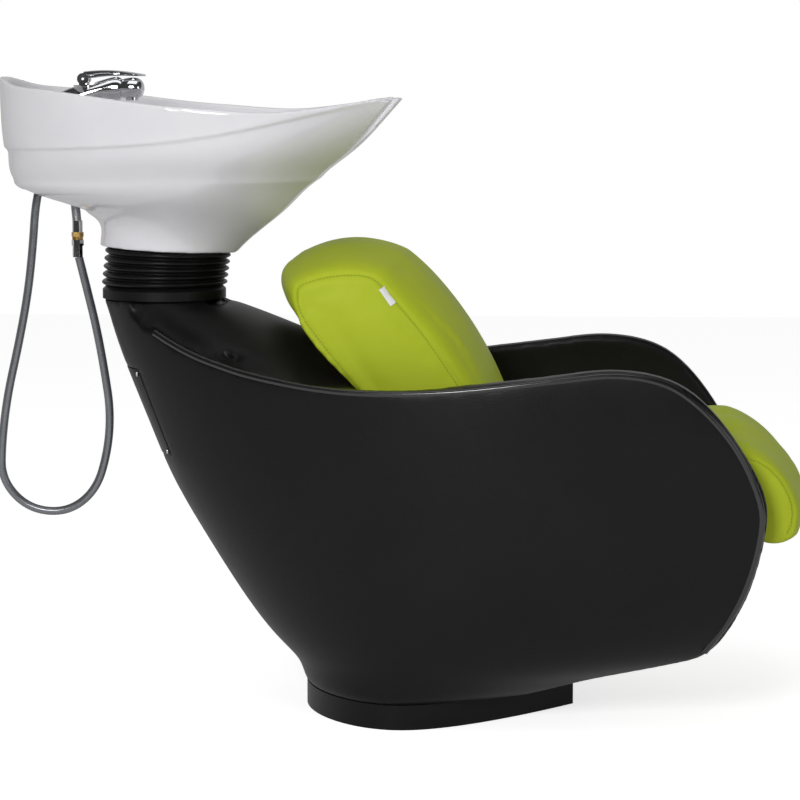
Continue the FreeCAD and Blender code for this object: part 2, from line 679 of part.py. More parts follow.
def make_shell():
    outer = hull(0, 0, 0)
    crest = dome(0).common(hull(S.dome_margin, S.dome_margin, 0))
    body = shell_form().fuse(crest).cut(seat_cavity()).cut(inner_void())
    skin = outer.cut(hull(S.panel_thickness, S.panel_thickness, 0))
    body = body.cut(panel_box(0).common(skin)).cut(panel_box(S.panel_rebate))
    panel = panel_box(S.panel_clearance).common(skin)
    screws = panel_screws(outer.Shells[0])
    for screw in screws:
        body = body.cut(screw)
        panel = panel.cut(screw)
    for x, y in shell_bolt_places():
        body = body.cut(Part.makeCylinder(S.shell_bolt_radius, S.flange_thickness, V(x, y, S.plinth_height)))
    for drill in board_bolt_drills():
        body = body.cut(drill)
    solid("shell", body)
    solid("service_panel", panel)
    solid("panel_screws", Part.makeCompound(screws))


def make_shell_bolts():
    seat = C.plinth_height + C.flange_thickness
    reach = C.plinth_front - C.shell_bolt_inset
    spread = C.plinth_half_width - C.shell_bolt_inset
    bolts = []
    for index, (x, y) in enumerate(SHELL_BOLT_PLACES_SHARES):
        bolts.append(bolt(f"shell_bolt_{index}", C.shell_bolt_radius, seat, C.shell_bolt_head_radius,
                          C.shell_bolt_head_height, reach * x, spread * y, seat))
    keep(group("shell_bolt_set", bolts), "shell_bolts")


# Upholstery

def across(points, y):
    return [V(x, y, z) for x, z in points]


EIGHTH_TURN_SHARE = math.sqrt(0.5)


def seat_board_bend(clear):
    """The bent seat board's top, and the radius and middle of its bend over the front."""
    high = S.seat_floor + S.board_thickness + clear
    outer = S.seat_bend_radius + clear
    return high, outer, (S.seat_bend_start, high - outer)


def quarter_point(centre, radius):
    return (centre[0] + radius * EIGHTH_TURN_SHARE, centre[1] + radius * EIGHTH_TURN_SHARE)


def make_seat_board():
    half = S.board_half_width
    low = S.seat_floor
    high, outer, centre = seat_board_bend(0)
    inner = outer - S.board_thickness
    rear = S.seat_rear
    near_x = centre[0] + inner
    far_x = centre[0] + outer
    spots = across([(rear, low), (centre[0], low), quarter_point(centre, inner), (near_x, centre[1]),
                    (near_x, S.board_lip), (far_x, S.board_lip), (far_x, centre[1]),
                    quarter_point(centre, outer), (centre[0], high), (rear, high)], -half)
    edges = [line(spots[0], spots[1]), arc(spots[1], spots[2], spots[3]), line(spots[3], spots[4]),
             line(spots[4], spots[5]), line(spots[5], spots[6]), arc(spots[6], spots[7], spots[8]),
             line(spots[8], spots[9]), line(spots[9], spots[0])]
    board = Part.Face(Part.Wire(edges)).extrude(V(0, half * 2, 0))
    for drill in board_bolt_drills():
        board = board.cut(drill)
    solid("seat_board", board)


# Crown of a cushion across its width: place over the half width, share of the full crown
CROWN_SHARES = [(-1.0, 0.0), (-0.94, 0.3), (-0.8, 0.57), (-0.5, 0.86), (0.0, 1.0), (0.5, 0.86), (0.8, 0.57),
                (0.94, 0.3), (1.0, 0.0)]
SEAT_FRONT_BULGE_SHARE = 0.62
SEAT_KNEE_SHARE = 0.3
SEAT_BROW_SHARE = 0.2
SEAT_TOE_SHARE = 0.6
SEAT_TOE_RISE_SHARE = 0.06
SEAT_TOE_ROUND_SHARE = 0.33
SEAT_REAR_LIFT_SHARE = 0.55
SEAT_REAR_DIP_SHARE = 0.94


def seat_cushion_wire(y, crown):
    """Side outline of the seat cushion at one place across it, with its share of the crown."""
    high, outer, centre = seat_board_bend(S.board_clearance)
    front = S.seat_seam_front + crown * S.seat_crown_front
    top = S.seat_seam_height + crown * S.seat_crown_height
    rear_top = S.seat_seam_height * SEAT_REAR_DIP_SHARE + crown * S.seat_crown_height * SEAT_REAR_LIFT_SHARE
    toe = S.seat_drop - crown * S.board_thickness / 2
    knee = (front, between(toe, top, SEAT_KNEE_SHARE))
    brow = (between(S.seat_bend_start, front, SEAT_BROW_SHARE), top)
    nose = (between(brow[0], front, SEAT_FRONT_BULGE_SHARE), between(knee[1], top, SEAT_FRONT_BULGE_SHARE))
    inner_x = centre[0] + outer
    toe_round = S.board_thickness * SEAT_TOE_ROUND_SHARE
    spots = across([(S.seat_rear, high), (centre[0], high), quarter_point(centre, outer), (inner_x, centre[1]),
                    (inner_x, S.seat_drop), (between(inner_x, front, SEAT_TOE_SHARE), toe - toe_round),
                    (front - toe_round, between(toe, top, SEAT_TOE_RISE_SHARE)), knee, nose, brow,
                    (S.seat_rear + S.board_thickness, rear_top),
                    (S.seat_rear, (high + rear_top) / 2)], y)
    rear_round = (spots[10] + spots[11]) / 2 + V(-toe_round / 2, 0, toe_round / 2)
    return Part.Wire([
        line(spots[0], spots[1]), arc(spots[1], spots[2], spots[3]), line(spots[3], spots[4]),
        arc(spots[4], spots[5], spots[6]), line(spots[6], spots[7]), arc(spots[7], spots[8], spots[9]),
        line(spots[9], spots[10]), arc(spots[10], rear_round, spots[11]), line(spots[11], spots[0])])


def make_seat_cushion():
    wires = [seat_cushion_wire(place_share * S.seat_half_width, crown) for place_share, crown in CROWN_SHARES]
    solid("seat_cushion", loft(wires))


# Outline of the backrest at its side seam: up over its height, out over its thickness
BACK_SEAM_SHARES = {"heel": (0.0, 0.0), "nape": (0.927, 0.0), "nape_arc": (0.984, 0.05), "top": (1.0, 0.14),
                    "top_arc": (0.952, 0.5), "brow": (0.887, 0.8), "front_arc": (0.52, 1.0),
                    "toe": (0.03, 0.975)}
# How far each of those points moves at full crown: over the top crown, rear or front crown
BACK_CROWN_SHARES = {"heel": (0.0, 0.0), "nape": (0.0, 0.0), "nape_arc": (0.7, -1.3), "top": (1.0, 0.08),
                     "top_arc": (0.75, 0.85), "brow": (-0.1, 1.25), "front_arc": (0.0, 1.0), "toe": (0.2, 0.6)}


def back_cushion_wire(y, crown):
    """Side outline of the back cushion at one place across it, with its share of the crown."""
    spots = {}
    for name, (up, out) in BACK_SEAM_SHARES.items():
        rise, push = BACK_CROWN_SHARES[name]
        swell = S.back_crown_rear if push < 0 else S.back_crown_front
        height = up * S.back_height + crown * rise * S.back_crown_top
        depth = S.board_clearance + out * S.back_thickness + crown * push * swell
        x, z = back_point(height, depth)
        spots[name] = V(x, y, z)
    return Part.Wire([
        line(spots["heel"], spots["nape"]), arc(spots["nape"], spots["nape_arc"], spots["top"]),
        arc(spots["top"], spots["top_arc"], spots["brow"]), arc(spots["brow"], spots["front_arc"], spots["toe"]),
        line(spots["toe"], spots["heel"])])


def make_back_cushion():
    wires = [back_cushion_wire(place_share * S.back_half_width, crown) for place_share, crown in CROWN_SHARES]
    solid("back_cushion", loft(wires).cut(back_board_form(S.board_clearance)))


def back_board_form(grow):
    """The board inside the back cushion's rear face, or the pocket that holds it."""
    low = S.board_thickness - grow
    high = S.board_thickness + S.back_board_height + grow
    out = S.board_thickness + grow
    corners = [back_point(low, 0), back_point(high, 0), back_point(high, out), back_point(low, out)]
    return side_prism(corners, S.board_half_width - S.board_thickness * 2 + grow)


def make_back_board():
    board = back_board_form(0)
    for drill in board_bolt_drills():
        board = board.cut(drill)
    solid("back_board", board)


def board_bolt_lines():
    """Seat and direction of every bolt that holds a board: the head seats on the shell's inner skin."""
    lines = []
    for x in (-1, 1):
        for y in (-1, 1):
            spot = V(S.seat_bolt_middle + x * S.seat_bolt_spacing_x / 2, y * S.seat_bolt_spacing_y / 2,
                     S.seat_floor - S.floor_skin)
            lines.append((spot, V(0, 0, 1), S.floor_skin + S.board_bolt_depth, "seat"))
    lean = math.radians(BACK_LEAN_DEGREES)
    outward = V(math.cos(lean), 0, math.sin(lean))
    for step in (0, 1):
        for y in (-1, 1):
            x, z = back_point(S.back_bolt_low + step * S.back_bolt_spacing, -S.back_skin)
            spot = V(x, y * S.back_bolt_spacing_y / 2, z)
            lines.append((spot, outward, S.back_skin + S.board_bolt_depth, "back"))
    return lines


def board_bolt_drills():
    return [Part.makeCylinder(S.board_bolt_radius, length, spot, along)
            for spot, along, length, owner in board_bolt_lines()]


def make_board_bolts():
    for piece in ("seat", "back"):
        bolts = []
        for spot, along, length, owner in board_bolt_lines():
            if owner == piece:
                head = Part.makeCylinder(S.board_bolt_head_radius, S.board_bolt_head_height,
                                         spot - along * S.board_bolt_head_height, along)
                bolts.append(head.fuse(Part.makeCylinder(S.board_bolt_radius, length, spot, along)))
        solid(f"{piece}_bolts", Part.makeCompound(bolts))


# Neck collar, bellows and tilt hinge

def make_collar():
    top = C.collar_height
    profile = [(C.collar_bore, 0), (C.collar_radius, 0), (C.collar_radius, top - C.collar_round),
               (C.collar_radius - C.collar_round, top), (C.collar_bore, top)]
    keep(turned("collar", profile, -C.neck_offset, 0, C.neck_height), "neck_collar")


def bellows_rings(shrink):
    """Four circles for each pleat, on planes that tilt more and more towards the bowl's foot."""
    low = S.neck_height + S.collar_height
    high = S.bowl_foot_height - S.bellows_clearance
    pleat_share = 1 / BELLOWS_PLEATS
    flat_share = S.pleat_flat / (high - low)
    rings = []
    for pleat in range(BELLOWS_PLEATS):
        start = pleat * pleat_share
        middle = start + pleat_share / 2
        end = start + pleat_share - flat_share
        rings += [(start, S.bellows_valley), (middle - flat_share / 2, S.bellows_radius),
                  (middle + flat_share / 2, S.bellows_radius), (end, S.bellows_valley)]
    wires = []
    for share, radius in rings + [(1.0, S.bellows_valley)]:
        tilt = math.radians(FOOT_TILT_DEGREES) * share
        centre = V(between(-S.neck_offset, -S.bowl_foot_offset, share), 0, between(low, high, share))
        wires.append(ring_wire(centre, V(math.sin(tilt), 0, math.cos(tilt)), radius - shrink))
    return wires


def make_bellows():
    skin = loft(bellows_rings(0), True).cut(loft(bellows_rings(S.bellows_wall), True))
    solid("bellows", skin)


def hinge_ear(name, inner, low, high, side):
    """A hinge ear: a plate across the Y axis, before its bore."""
    middle = inner + C.ear_thickness / 2
    return box(name, C.ear_half_length * 2, C.ear_thickness, high - low, -C.neck_offset, middle * side, low)


def make_tilt_hinge():
    """A fixed plate with two ears on the posts, and the bowl's plate with two ears between them."""
    head_inner = C.base_ear_inner - C.ear_gap - C.ear_thickness
    base_top = C.post_top + C.tilt_plate_thickness
    head_top = C.foot_roof - C.gasket_thickness
    head_low = head_top - C.tilt_plate_thickness
    thick = C.tilt_plate_thickness
    base = cylinder("tilt_base_plate", C.tilt_plate_radius, thick, -C.neck_offset, 0, C.post_top)
    head = cylinder("tilt_head_plate", C.tilt_plate_radius, thick, -C.neck_offset, 0, head_low)
    ear_reach = C.ear_half_length
    base_parts = [base]
    head_parts = [head]
    for side, word in ((-1, "near"), (1, "far")):
        base_parts.append(hinge_ear(f"base_ear_{word}", C.base_ear_inner, base_top, C.tilt_height + ear_reach,
                                    side))
        head_parts.append(hinge_ear(f"head_ear_{word}", head_inner, C.tilt_height - ear_reach, head_low, side))
    length = C.tilt_plate_radius * 2
    bore_start = -C.tilt_plate_radius
    base_bore = cylinder("base_pin_bore", C.pin_radius, length, -C.neck_offset, bore_start, C.tilt_height, "y")
    head_bore = cylinder("head_pin_bore", C.pin_radius + C.pin_fit, length, -C.neck_offset, bore_start,
                         C.tilt_height, "y")
    base_hole = cylinder("base_hole", C.tilt_base_bore, thick, -C.neck_offset, 0, C.post_top)
    head_hole = cylinder("head_hole", C.tilt_plate_bore, thick, -C.neck_offset, 0, head_low)
    bolt_holes = [cylinder(f"head_bolt_hole_{index}", C.head_bolt_radius, thick, x, y, head_low)
                  for index, (x, y) in enumerate(head_bolt_places())]
    base_body = fuse("tilt_base_body", *base_parts)
    head_body = fuse("tilt_head_body", *head_parts)
    keep(cut("tilt_base_cut", base_body, base_bore, base_hole), "tilt_base")
    keep(cut("tilt_head_cut", head_body, head_bore, head_hole, *bolt_holes), "tilt_head")


HEAD_BOLT_SIDES_SHARES = [(-0.94, 0.34), (-0.94, -0.34), (0.94, 0.34), (0.94, -0.34)]


def head_bolt_places():
    return [(C.head_bolt_circle * x - C.neck_offset, C.head_bolt_circle * y) for x, y in HEAD_BOLT_SIDES_SHARES]


def make_pins():
    """Shoulder pins from outside through both ears, each held by a clip inside."""
    pins = []
    clips = []
    inner = C.base_ear_inner - C.ear_gap - C.ear_thickness
    outer = C.base_ear_inner + C.ear_thickness
    tail = inner - C.clip_thickness - C.pin_tail
    for side, word in ((-1, "near"), (1, "far")):
        low = -outer if side < 0 else tail
        shank = cylinder(f"pin_{word}_shank", C.pin_radius, outer - tail, -C.neck_offset, low, C.tilt_height,
                         "y")
        head_y = -outer - C.pin_head_height if side < 0 else outer
        head = cylinder(f"pin_{word}_head", C.pin_head_radius, C.pin_head_height, -C.neck_offset, head_y,
                        C.tilt_height, "y")
        pins.append(fuse(f"pin_{word}", shank, head))
        clip_y = -inner + C.ear_gap / 2 if side < 0 else inner - C.clip_thickness - C.ear_gap / 2
        ring = cylinder(f"clip_{word}_disc", C.clip_radius, C.clip_thickness, -C.neck_offset, clip_y,
                        C.tilt_height, "y")
        bore = cylinder(f"clip_{word}_bore", C.pin_radius, C.clip_thickness, -C.neck_offset, clip_y,
                        C.tilt_height, "y")
        clips.append(cut(f"clip_{word}", ring, bore))
    keep(group("pin_set", pins), "pivot_pins")
    keep(group("clip_set", clips), "pin_clips")


# Ceramic bowl

# Each row of the bowl's outside: height, rear, half width, widest place, front, front half width, roundness
UNDERSIDE_SHARES = [
    (0.0, 0.0, 0.0, 0.0, 0.0, 0.1, 0.5523),
    (0.12, 0.02, 0.02, 0.02, 0.12, 0.14, 0.5523),
    (0.2, 0.056, 0.15, 0.06, 0.22, 0.2, 0.5523),
    (0.3, 0.44, 0.42, 0.1, 0.33, 0.26, 0.58),
    (0.425, 0.88, 0.68, 0.165, 0.475, 0.34, 0.6),
]
SKIRT_SHARES = [
    (0.425, 0.88, 0.68, 0.165, 0.475, 0.34, 0.6),
    (0.52, 0.925, 0.83, 0.2, 0.585, 0.44, 0.62),
    (0.606, 0.93, 0.93, 0.23, 0.688, 0.6, 0.62),
]
BAND_SHARES = [
    (0.55, 0.95, 0.952, 0.23, 0.646, 0.53, 0.62),
    (0.719, 0.9875, 0.993, 0.27, 0.794, 0.8, 0.62),
    (0.843, 0.997, 1.0, 0.295, 0.9, 0.95, 0.62),
    (1.0, 1.0, 1.0, 0.295, 1.0, 1.0, 0.62),
]
# The band's lower edge in side view: behind the origin over the bowl's rear reach, height over the bowl's depth
BAND_EDGE_SHARES = [(1.06, 0.59), (1.0, 0.5915), (0.8, 0.606), (0.612, 0.634), (0.397, 0.711), (0.237, 0.796),
                    (0.107, 0.859), (0.0, 0.9)]

# The rim in side view: behind the origin over the bowl's rear reach, height from the low point to the top
RIM_SHARES = [(1.03, 0.97), (1.0, 0.93), (0.958, 0.724), (0.906, 0.62), (0.814, 0.51), (0.719, 0.362),
              (0.585, 0.17), (0.471, 0.07), (0.355, 0.0), (0.298, 0.05), (0.184, 0.24), (0.129, 0.33),
              (0.09, 0.29), (0.03, 0.17)]

# Each row of the basin: height, rear, half width, front, front half width
BASIN_SHARES = [
    (0.0, 0.0, 0.0, 0.0, 0.0),
    (0.07, 0.235, 0.25, 0.257, 0.06),
    (0.17, 0.485, 0.48, 0.363, 0.14),
    (0.295, 0.78, 0.7, 0.487, 0.22),
    (0.42, 0.88, 0.84, 0.6, 0.34),
    (0.535, 0.94, 0.92, 0.707, 0.53),
    (0.67, 1.0, 0.98, 0.807, 0.76),
    (1.0, 1.0, 1.0, 1.0, 1.0),
]


def bowl_wire(row, inset, front_inset=None):
    """One plan outline of the bowl's outside, drawn in by a wall, or by less at the front."""
    height, rear, half, widest, front, front_half, roundness = row
    foot = S.bowl_foot_height - S.bowl_foot_sink
    foot_rear = S.bowl_foot_offset + S.bowl_foot_radius
    foot_front = S.bowl_foot_offset - S.bowl_foot_radius
    return plan_wire(
        between(foot, S.bowl_top, height), inset - between(foot_rear, S.bowl_rear, rear),
        -between(S.bowl_foot_offset, S.bowl_front, widest),
        between(S.bowl_foot_radius, S.bowl_half_width, half) - inset,
        -between(foot_front, S.bowl_front, front) - (inset if front_inset is None else front_inset),
        S.bowl_tip_half_width * front_half, roundness, ROUND_SHARE)


def bowl_form():
    """The bowl's outside from below its foot to above its rim: underside, skirt and overhanging band."""
    skirt = [bowl_wire(row, 0) for row in SKIRT_SHARES]
    skirt += [bowl_wire(row, S.band_step, S.band_front_step) for row in BAND_SHARES[1:]]
    lofts = [loft([bowl_wire(row, 0) for row in table]) for table in (UNDERSIDE_SHARES, BAND_SHARES)]
    return lofts[0].fuse([loft(skirt), lofts[1].cut(band_slab())])


def band_slab():
    """A slab under the band, whose top is the band's lower edge in side view."""
    half = S.bowl_half_width + S.cut_overrun
    foot = S.bowl_foot_height - S.bowl_foot_sink
    edge = [V(-x * S.bowl_rear, -half, between(foot, S.bowl_top, z)) for x, z in BAND_EDGE_SHARES]
    return slab(edge, foot, half)


def slab(edge, level, half):
    """A slab between a smooth line in side view and a level."""
    curve = Part.BSplineCurve()
    curve.interpolate(edge)
    corners = [V(edge[-1].x, -half, level), V(edge[0].x, -half, level)]
    edges = [curve.toShape(), line(edge[-1], corners[0]), line(corners[0], corners[1]), line(corners[1], edge[0])]
    return Part.Face(Part.Wire(edges)).extrude(V(0, half * 2, 0))


def rim_slab():
    """A slab over the rim, whose underside is the rim's line in side view."""
    half = S.bowl_half_width + S.cut_overrun
    rim = [V(-x * S.bowl_rear, -half, between(S.bowl_rim_low, S.bowl_top, z)) for x, z in RIM_SHARES]
    return slab(rim, S.bowl_top + S.cut_overrun, half)


def basin_form():
    """The inside of the basin from its floor up past the rim."""
    wires = []
    for height, rear, half, front, front_half in BASIN_SHARES:
        tail = -between(S.drain_offset + S.basin_floor_radius, S.deck_front, rear)
        head = -between(S.drain_offset - S.basin_floor_radius, S.basin_front, front)
        width = between(S.basin_floor_radius, S.bowl_half_width - S.bowl_wall, half)
        blunt = between(S.basin_floor_radius / 2, S.bowl_tip_half_width - S.bowl_wall, front_half)
        wires.append(plan_wire(between(S.basin_floor, S.bowl_top, height), tail, (tail + head) / 2, width, head,
                               blunt, ROUND_SHARE, ROUND_SHARE))
    return loft(wires)


def foot_cut():
    """A tilted slab under the foot."""
    size = S.bowl_rear
    block = Part.makeBox(size, size, size, V(-size / 2, -size / 2, -size))
    block.rotate(V(0, 0, 0), V(0, 1, 0), FOOT_TILT_DEGREES)
    block.translate(V(-S.bowl_foot_offset, 0, S.bowl_foot_height))
    return block


def neck_notch():
    """The rounded cut-out for the sitter's neck, between the two horns."""
    centre_z = S.notch_low + S.notch_radius
    start = V(-S.notch_reach - S.bowl_front, 0, centre_z)
    bar = Part.makeCylinder(S.notch_radius, S.notch_reach + S.cut_overrun, start, V(1, 0, 0))
    above = Part.makeBox(S.notch_reach + S.cut_overrun, S.notch_radius * 2, S.bowl_top,
                         start - V(0, S.notch_radius, 0))
    return bar.fuse(above)


def deck_recess():
    """The space over the mixer's deck, inside the rim."""
    inside = loft([bowl_wire(row, S.bowl_wall) for row in BAND_SHARES])
    size = S.bowl_rear * 2
    room = Part.makeBox(size, size, size, V(-size, -S.bowl_rear, S.deck_height))
    return inside.common(room)


def rear_hollow():
    """The space under the deck behind the basin, open below."""
    low = S.bowl_foot_height
    high = S.deck_height - S.deck_thickness
    plan = bowl_wire(SKIRT_SHARES[0], S.hollow_wall)
    plan.translate(V(0, 0, low - plan.BoundBox.ZMin))
    column = Part.Face(plan).extrude(V(0, 0, high - low))
    room = Part.makeBox(S.bowl_rear - S.deck_front - S.hollow_wall, S.hollow_half_width * 2, high,
                        V(-S.bowl_rear, -S.hollow_half_width, 0))
    return column.common(room)


def make_bowl():
    body = bowl_form().cut(rim_slab()).cut(foot_cut())
    body = body.cut(basin_form()).cut(deck_recess()).cut(rear_hollow()).cut(neck_notch())
    bore_low = S.bowl_foot_height - S.cut_overrun
    body = body.cut(Part.makeCylinder(S.bowl_foot_bore, S.foot_roof - bore_low, V(-S.neck_offset, 0, bore_low)))
    drain = V(-S.drain_offset, 0, bore_low)
    body = body.cut(Part.makeCylinder(S.drain_bore, S.cut_overrun * 2, drain))
    mixer = V(-S.mixer_offset, 0, S.deck_height - S.cut_overrun)
    body = body.cut(Part.makeCylinder(S.mixer_hole_radius, S.cut_overrun * 2, mixer))
    for x, y in head_bolt_places():
        spot = V(float(x), float(y), S.foot_roof)
        body = body.cut(Part.makeCylinder(S.head_bolt_radius, S.head_bolt_depth, spot))
    solid("bowl", body)


def make_bowl_fixings():
    low = C.foot_roof - C.gasket_thickness
    disc = cylinder("foot_gasket_disc", C.tilt_plate_radius, C.gasket_thickness, -C.neck_offset, 0, low)
    hole = cylinder("foot_gasket_hole", C.tilt_plate_bore, C.gasket_thickness, -C.neck_offset, 0, low)
    holes = [cylinder(f"foot_gasket_hole_{index}", C.head_bolt_radius, C.gasket_thickness, x, y, low)
             for index, (x, y) in enumerate(head_bolt_places())]
    keep(cut("foot_gasket_cut", disc, hole, *holes), "foot_gasket")
    seat = low - C.tilt_plate_thickness
    length = C.tilt_plate_thickness + C.gasket_thickness + C.head_bolt_depth
    bolts = [bolt(f"bowl_bolt_{index}", C.head_bolt_radius, length, C.head_bolt_head_radius,
                  C.head_bolt_head_height, x, y, seat, "up") for index, (x, y) in enumerate(head_bolt_places())]
    keep(group("bowl_bolt_set", bolts), "bowl_bolts")


# Drain and strainer

def make_drain():
    """A flanged waste with its gasket, clamped by a nut from below."""
    floor = C.basin_floor
    rim = C.drain_flange_radius
    bore = C.drain_radius - C.drain_wall
    top = C.drain_flange_height
    seat = top - C.drain_seat_depth
    profile = [(bore, -C.drain_length), (C.drain_radius, -C.drain_length), (C.drain_radius, 0), (rim, 0),
               (rim - C.drain_wall, top), (C.drain_seat_radius, top), (C.drain_seat_radius, seat), (bore, seat)]
    x = -C.drain_offset
    keep(turned("drain_waste", profile, x, 0, floor), "drain_body")
    inner = C.drain_radius + C.drain_fit
    under = C.foot_roof - C.drain_gasket_thickness
    ring = [(inner, 0), (C.drain_nut_radius, 0), (C.drain_nut_radius, C.drain_gasket_thickness),
            (inner, C.drain_gasket_thickness)]
    keep(turned("drain_ring", ring, x, 0, under), "drain_gasket")
    nut = hexagon("drain_nut_hex", C.drain_nut_radius, C.drain_nut_height, x, 0, under - C.drain_nut_height)
    hole = cylinder("drain_nut_hole", C.drain_radius, C.drain_nut_height, x, 0, under - C.drain_nut_height)
    keep(cut("drain_nut_cut", nut, hole), "drain_nut")


def make_strainer():
    """A low domed cup with a knob and a ring of holes, which sits loose in the waste's flange."""
    seat = C.basin_floor + C.drain_flange_height - C.drain_seat_depth + C.strainer_clearance
    wall = C.strainer_wall
    high = C.strainer_height
    edge = C.strainer_radius
    knob = C.strainer_knob_radius
    profile = [(edge - wall, 0), (edge, 0), (edge, wall), (edge / 2, high), (knob, high),
               (knob, high + C.strainer_knob_height), (0, high + C.strainer_knob_height), (0, high - wall),
               (edge / 2, high - wall)]
    cup = turned("strainer_cup", profile, -C.drain_offset, 0, seat)
    holes = []
    for index in range(STRAINER_HOLES):
        angle = math.radians(FULL_TURN * index / STRAINER_HOLES)
        x = C.strainer_ring * math.cos(angle) - C.drain_offset
        y = C.strainer_ring * math.sin(angle)
        holes.append(cylinder(f"strainer_hole_{index}", C.strainer_hole_radius, high, x, y, seat))
    keep(cut("strainer_cut", cup, *holes), "strainer")


# Mixer

# The arched mixer body: place from base to spout end, height over the deck, lean from upright, radius
MIXER_SHARES = [(0.02, 0.36, 0.11, 0.98), (0.15, 0.54, 0.5, 0.84), (0.4, 0.76, 0.8, 0.72),
                (0.695, 0.935, 0.91, 0.62), (1.0, 1.0, 1.0, 0.56)]


def make_mixer():
    """An arched body on the deck: the lever seats on its crest, and the spray docks in its end."""
    base_z = S.deck_height + S.mixer_base_height
    wires = [ring_wire(V(-S.mixer_offset, 0, base_z), AXES["z"], S.mixer_radius)]
    for run, rise, lean, radius in MIXER_SHARES:
        centre = V(run * S.spout_reach - S.mixer_offset, 0, between(S.deck_height, S.spout_height, rise))
        turn = math.radians(lean * QUARTER_TURN)
        wires.append(ring_wire(centre, V(math.sin(turn), 0, math.cos(turn)), radius * S.mixer_radius))
    body = loft(wires)
    hub = V(-S.lever_offset, 0, S.lever_seat_height)
    boss = Part.makeCylinder(S.lever_seat_radius, S.cartridge_height / 2, hub - V(0, 0, S.cartridge_height / 2))
    body = body.fuse(boss).cut(Part.makeCylinder(S.lever_pocket_radius, S.cartridge_height, hub))
    body = body.cut(Part.makeCylinder(S.cartridge_radius, S.cartridge_height, hub - V(0, 0, S.cartridge_height)))
    mouth = V(S.spout_reach - S.mixer_offset, 0, S.spout_height)
    body = body.cut(Part.makeCylinder(S.stem_radius + S.stem_fit, S.stem_length, mouth, V(-1, 0, 0)))
    solid("mixer_body", body)


def make_mixer_fixings():
    x = -C.mixer_offset
    ring = [(0, 0), (C.mixer_base_radius, 0), (C.mixer_base_radius, C.mixer_base_height / 2),
            (C.mixer_radius, C.mixer_base_height), (0, C.mixer_base_height)]
    keep(turned("mixer_rosette", ring, x, 0, C.deck_height), "mixer_base")
    shank_low = C.deck_height - C.shank_length
    keep(cylinder("mixer_stud", C.shank_radius, C.shank_length, x, 0, shank_low), "mixer_shank")
    under = C.deck_height - C.deck_thickness - C.mixer_washer_thickness
    washer = cylinder("mixer_washer_disc", C.mixer_washer_radius, C.mixer_washer_thickness, x, 0, under)
    washer_hole = cylinder("mixer_washer_hole", C.shank_radius, C.mixer_washer_thickness, x, 0, under)
    keep(cut("mixer_washer_cut", washer, washer_hole), "mixer_washer")
    nut = hexagon("mixer_nut_hex", C.mixer_nut_radius, C.mixer_nut_height, x, 0, under - C.mixer_nut_height)
    nut_hole = cylinder("mixer_nut_hole", C.shank_radius, C.mixer_nut_height, x, 0, under - C.mixer_nut_height)
    keep(cut("mixer_nut_cut", nut, nut_hole), "mixer_nut")
    low = shank_low - C.inlet_length
    tails = [cylinder(f"inlet_{word}", C.inlet_radius, C.inlet_length, x, C.inlet_spread * side / 2, low)
             for side, word in ((-1, "cold"), (1, "hot"))]
    keep(group("inlet_set", tails), "inlet_tails")
    keep(cylinder("cartridge_block", C.cartridge_radius, C.cartridge_height, -C.lever_offset, 0,
                  C.lever_seat_height - C.cartridge_height), "cartridge")


def make_lever():
    """A turning carrier with a tongue, and the lever whose slotted barrel pivots on that tongue."""
    hub_z = C.lever_seat_height + C.carrier_gap
    disc = cylinder("carrier_disc", C.carrier_radius, C.carrier_height, -C.lever_offset, 0, hub_z)
    post = box("carrier_post", C.tongue_radius * 2, C.tongue_thickness, C.lever_height - hub_z, -C.lever_offset,
               0, hub_z)
    knuckle = cylinder("carrier_knuckle", C.tongue_radius, C.tongue_thickness, -C.lever_offset,
                       -C.tongue_thickness / 2, C.lever_height, "y")
    bore = cylinder("carrier_bore", C.lever_pin_radius + C.lever_pin_fit, C.tongue_thickness, -C.lever_offset,
                    -C.tongue_thickness / 2, C.lever_height, "y")
    keep(cut("carrier_cut", fuse("carrier_body", disc, post, knuckle), bore), "lever_carrier")
    solid("mixer_lever", lever_shape())
    keep(cylinder("lever_pin_rod", C.lever_pin_radius, C.barrel_half_length * 2, -C.lever_offset,
                  -C.barrel_half_length, C.lever_height, "y"), "lever_pin")


# The lever's blade from its barrel to its tip: place, rise over the barrel's middle, width and thickness shares
LEVER_SHARES = [(0.0, 0.44, 1.0, 2.4), (0.3, 0.66, 1.05, 2.1), (0.6, 0.68, 1.1, 1.6), (0.85, 0.54, 1.1, 1.1),
                (1.0, 0.45, 0.95, 0.6)]


def lever_shape():
    hub = V(-S.lever_offset, 0, S.lever_height)
    wires = []
    for run, rise, width, thick in LEVER_SHARES:
        centre = hub + V(run * S.lever_reach, 0, rise * S.lever_rise)
        half = width * S.lever_half_width
        tall = thick * S.lever_thickness / 2
        wires.append(blade_wire(centre, half, tall))
    barrel = Part.makeCylinder(S.barrel_radius, S.barrel_half_length * 2, hub - V(0, S.barrel_half_length, 0),
                               V(0, 1, 0))
    slot_half = S.tongue_thickness / 2 + S.lever_gap
    slot = Part.makeBox(S.barrel_radius * 2, slot_half * 2, S.barrel_radius + S.tongue_radius + S.lever_gap,
                        hub - V(S.barrel_radius, slot_half, S.barrel_radius))
    bore = Part.makeCylinder(S.lever_pin_radius, S.barrel_half_length * 2, hub - V(0, S.barrel_half_length, 0),
                             V(0, 1, 0))
    return barrel.fuse(loft(wires)).cut(slot).cut(bore)


def blade_wire(centre, half, tall):
    """A flat oval across the lever."""
    spots = [centre + V(0, -half, 0), centre + V(0, 0, tall), centre + V(0, half, 0), centre - V(0, 0, tall)]
    return Part.Wire([arc(spots[0], spots[1], spots[2]), arc(spots[2], spots[3], spots[0])])


